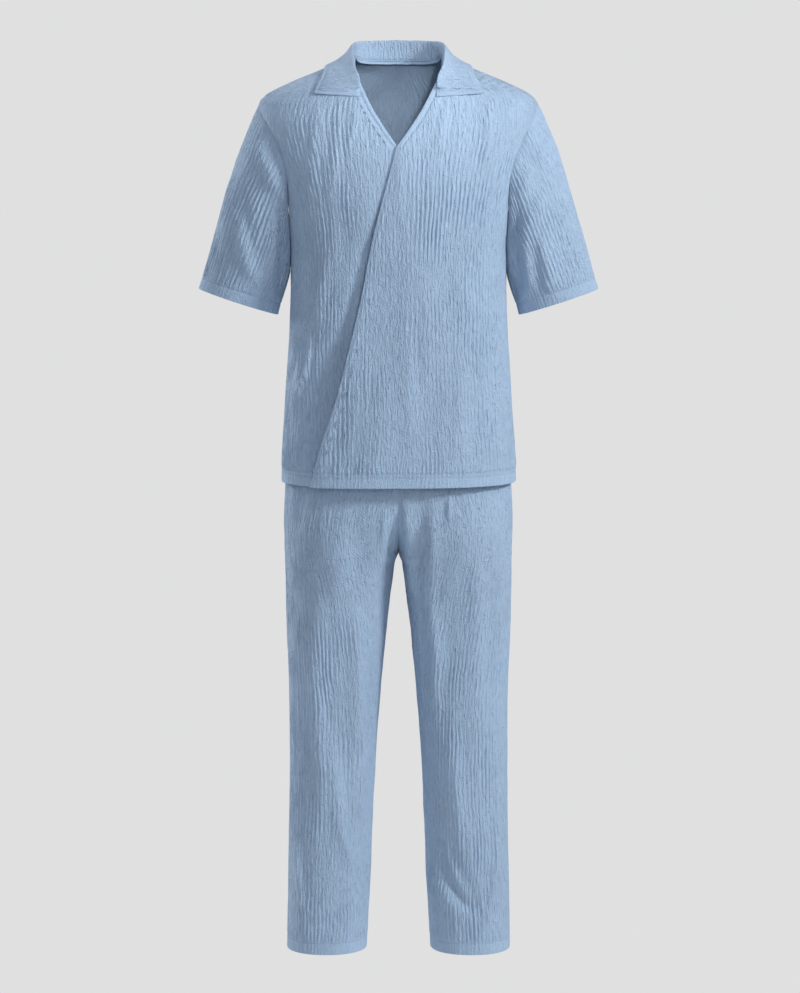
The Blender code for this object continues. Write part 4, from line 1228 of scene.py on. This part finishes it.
def camera():
    """The photograph's view: straight ahead and slightly above, from five and a half metres."""
    data = bpy.data.cameras.new("camera")
    data.lens = LENS
    data.sensor_width = SENSOR
    data.clip_end = 60
    view = bpy.data.objects.new("camera", data)
    view.location = VIEW_PLACE
    view.rotation_euler = (math.radians(VIEW_TILT), 0, 0)
    bpy.context.scene.collection.objects.link(view)
    bpy.context.scene.camera = view


def declare(piece, node, with_pieces=()):
    """Hangs a sheet of cloth and the pieces with it on the root, and hides the solid part that it stands
    for.
    """
    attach(piece, "root")
    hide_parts(node)
    for extra in with_pieces:
        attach(extra, "root")


def main():
    # Each cloth: its colour, then the painted highlight for its crease ridges and the painted shade for its
    # crease hollows.
    cloth = crinkled_cotton("crinkled_cotton_blue", "#AAC3DD", "#B2CAE3", "#A1BAD5")
    casing = crinkled_cotton("crinkled_cotton_casing", "#9BB5D3", "#A4BDD9", "#92ACCA")
    thread = sewing_thread("blue_sewing_thread", "#9DB7D5")

    def sewn(name, patches, distances, edge="last_row"):
        """Rows of stitching along one edge of some patches."""
        lines = [row_line(patch, away, edge) for patch in patches for away in distances]
        return stitches(name, lines, thread)

    left, left_patch = front("pullover_front_left", 1, "over", 11, cloth)
    right, right_patch = front("pullover_front_right", -1, "under", 23, cloth)
    behind, back_halves = back("pullover_back", 37, cloth)
    sleeves = {side: sleeve(f"pullover_sleeve_{word}", side, 51 + side * 3, cloth)
               for word, side in SIDES.items()}
    neck, neck_patch = collar("pullover_collar", 61, cloth)
    band = waistband("trouser_waistband", 71, casing)

    left_sewing = sewn("front_left_hem_stitching", [left_patch], TWIN_STITCHING)
    right_sewing = sewn("front_right_hem_stitching", [right_patch], TWIN_STITCHING)
    back_sewing = sewn("back_hem_stitching", back_halves, TWIN_STITCHING)
    collar_sewing = sewn("collar_edge_stitching", [neck_patch], [COLLAR_STITCHING], "last_column")
    declare(left, "front_left", with_pieces=[left_sewing])
    declare(right, "front_right", with_pieces=[right_sewing])
    declare(behind, "back", with_pieces=[back_sewing])
    declare(neck, "collar", with_pieces=[collar_sewing])
    for word, side in SIDES.items():
        piece, patch = sleeves[side]
        sewing = sewn(f"sleeve_{word}_cuff_stitching", [patch], [SINGLE_STITCHING])
        declare(piece, f"sleeve_{word}", with_pieces=[sewing])
    for word, side in SIDES.items():
        for face, seed, width in (("front", 83, 0.30), ("back", 97, 0.32)):
            node = f"trouser_{face}_{word}"
            piece, patch = trouser_panel(f"{node}_cloth", side, face, seed + side, cloth)
            sewing = sewn(f"{node}_hem_stitching", [patch], [SINGLE_STITCHING])
            declare(piece, node, with_pieces=[sewing])
    declare(band, "waistband")

    studio()
    camera()


main()
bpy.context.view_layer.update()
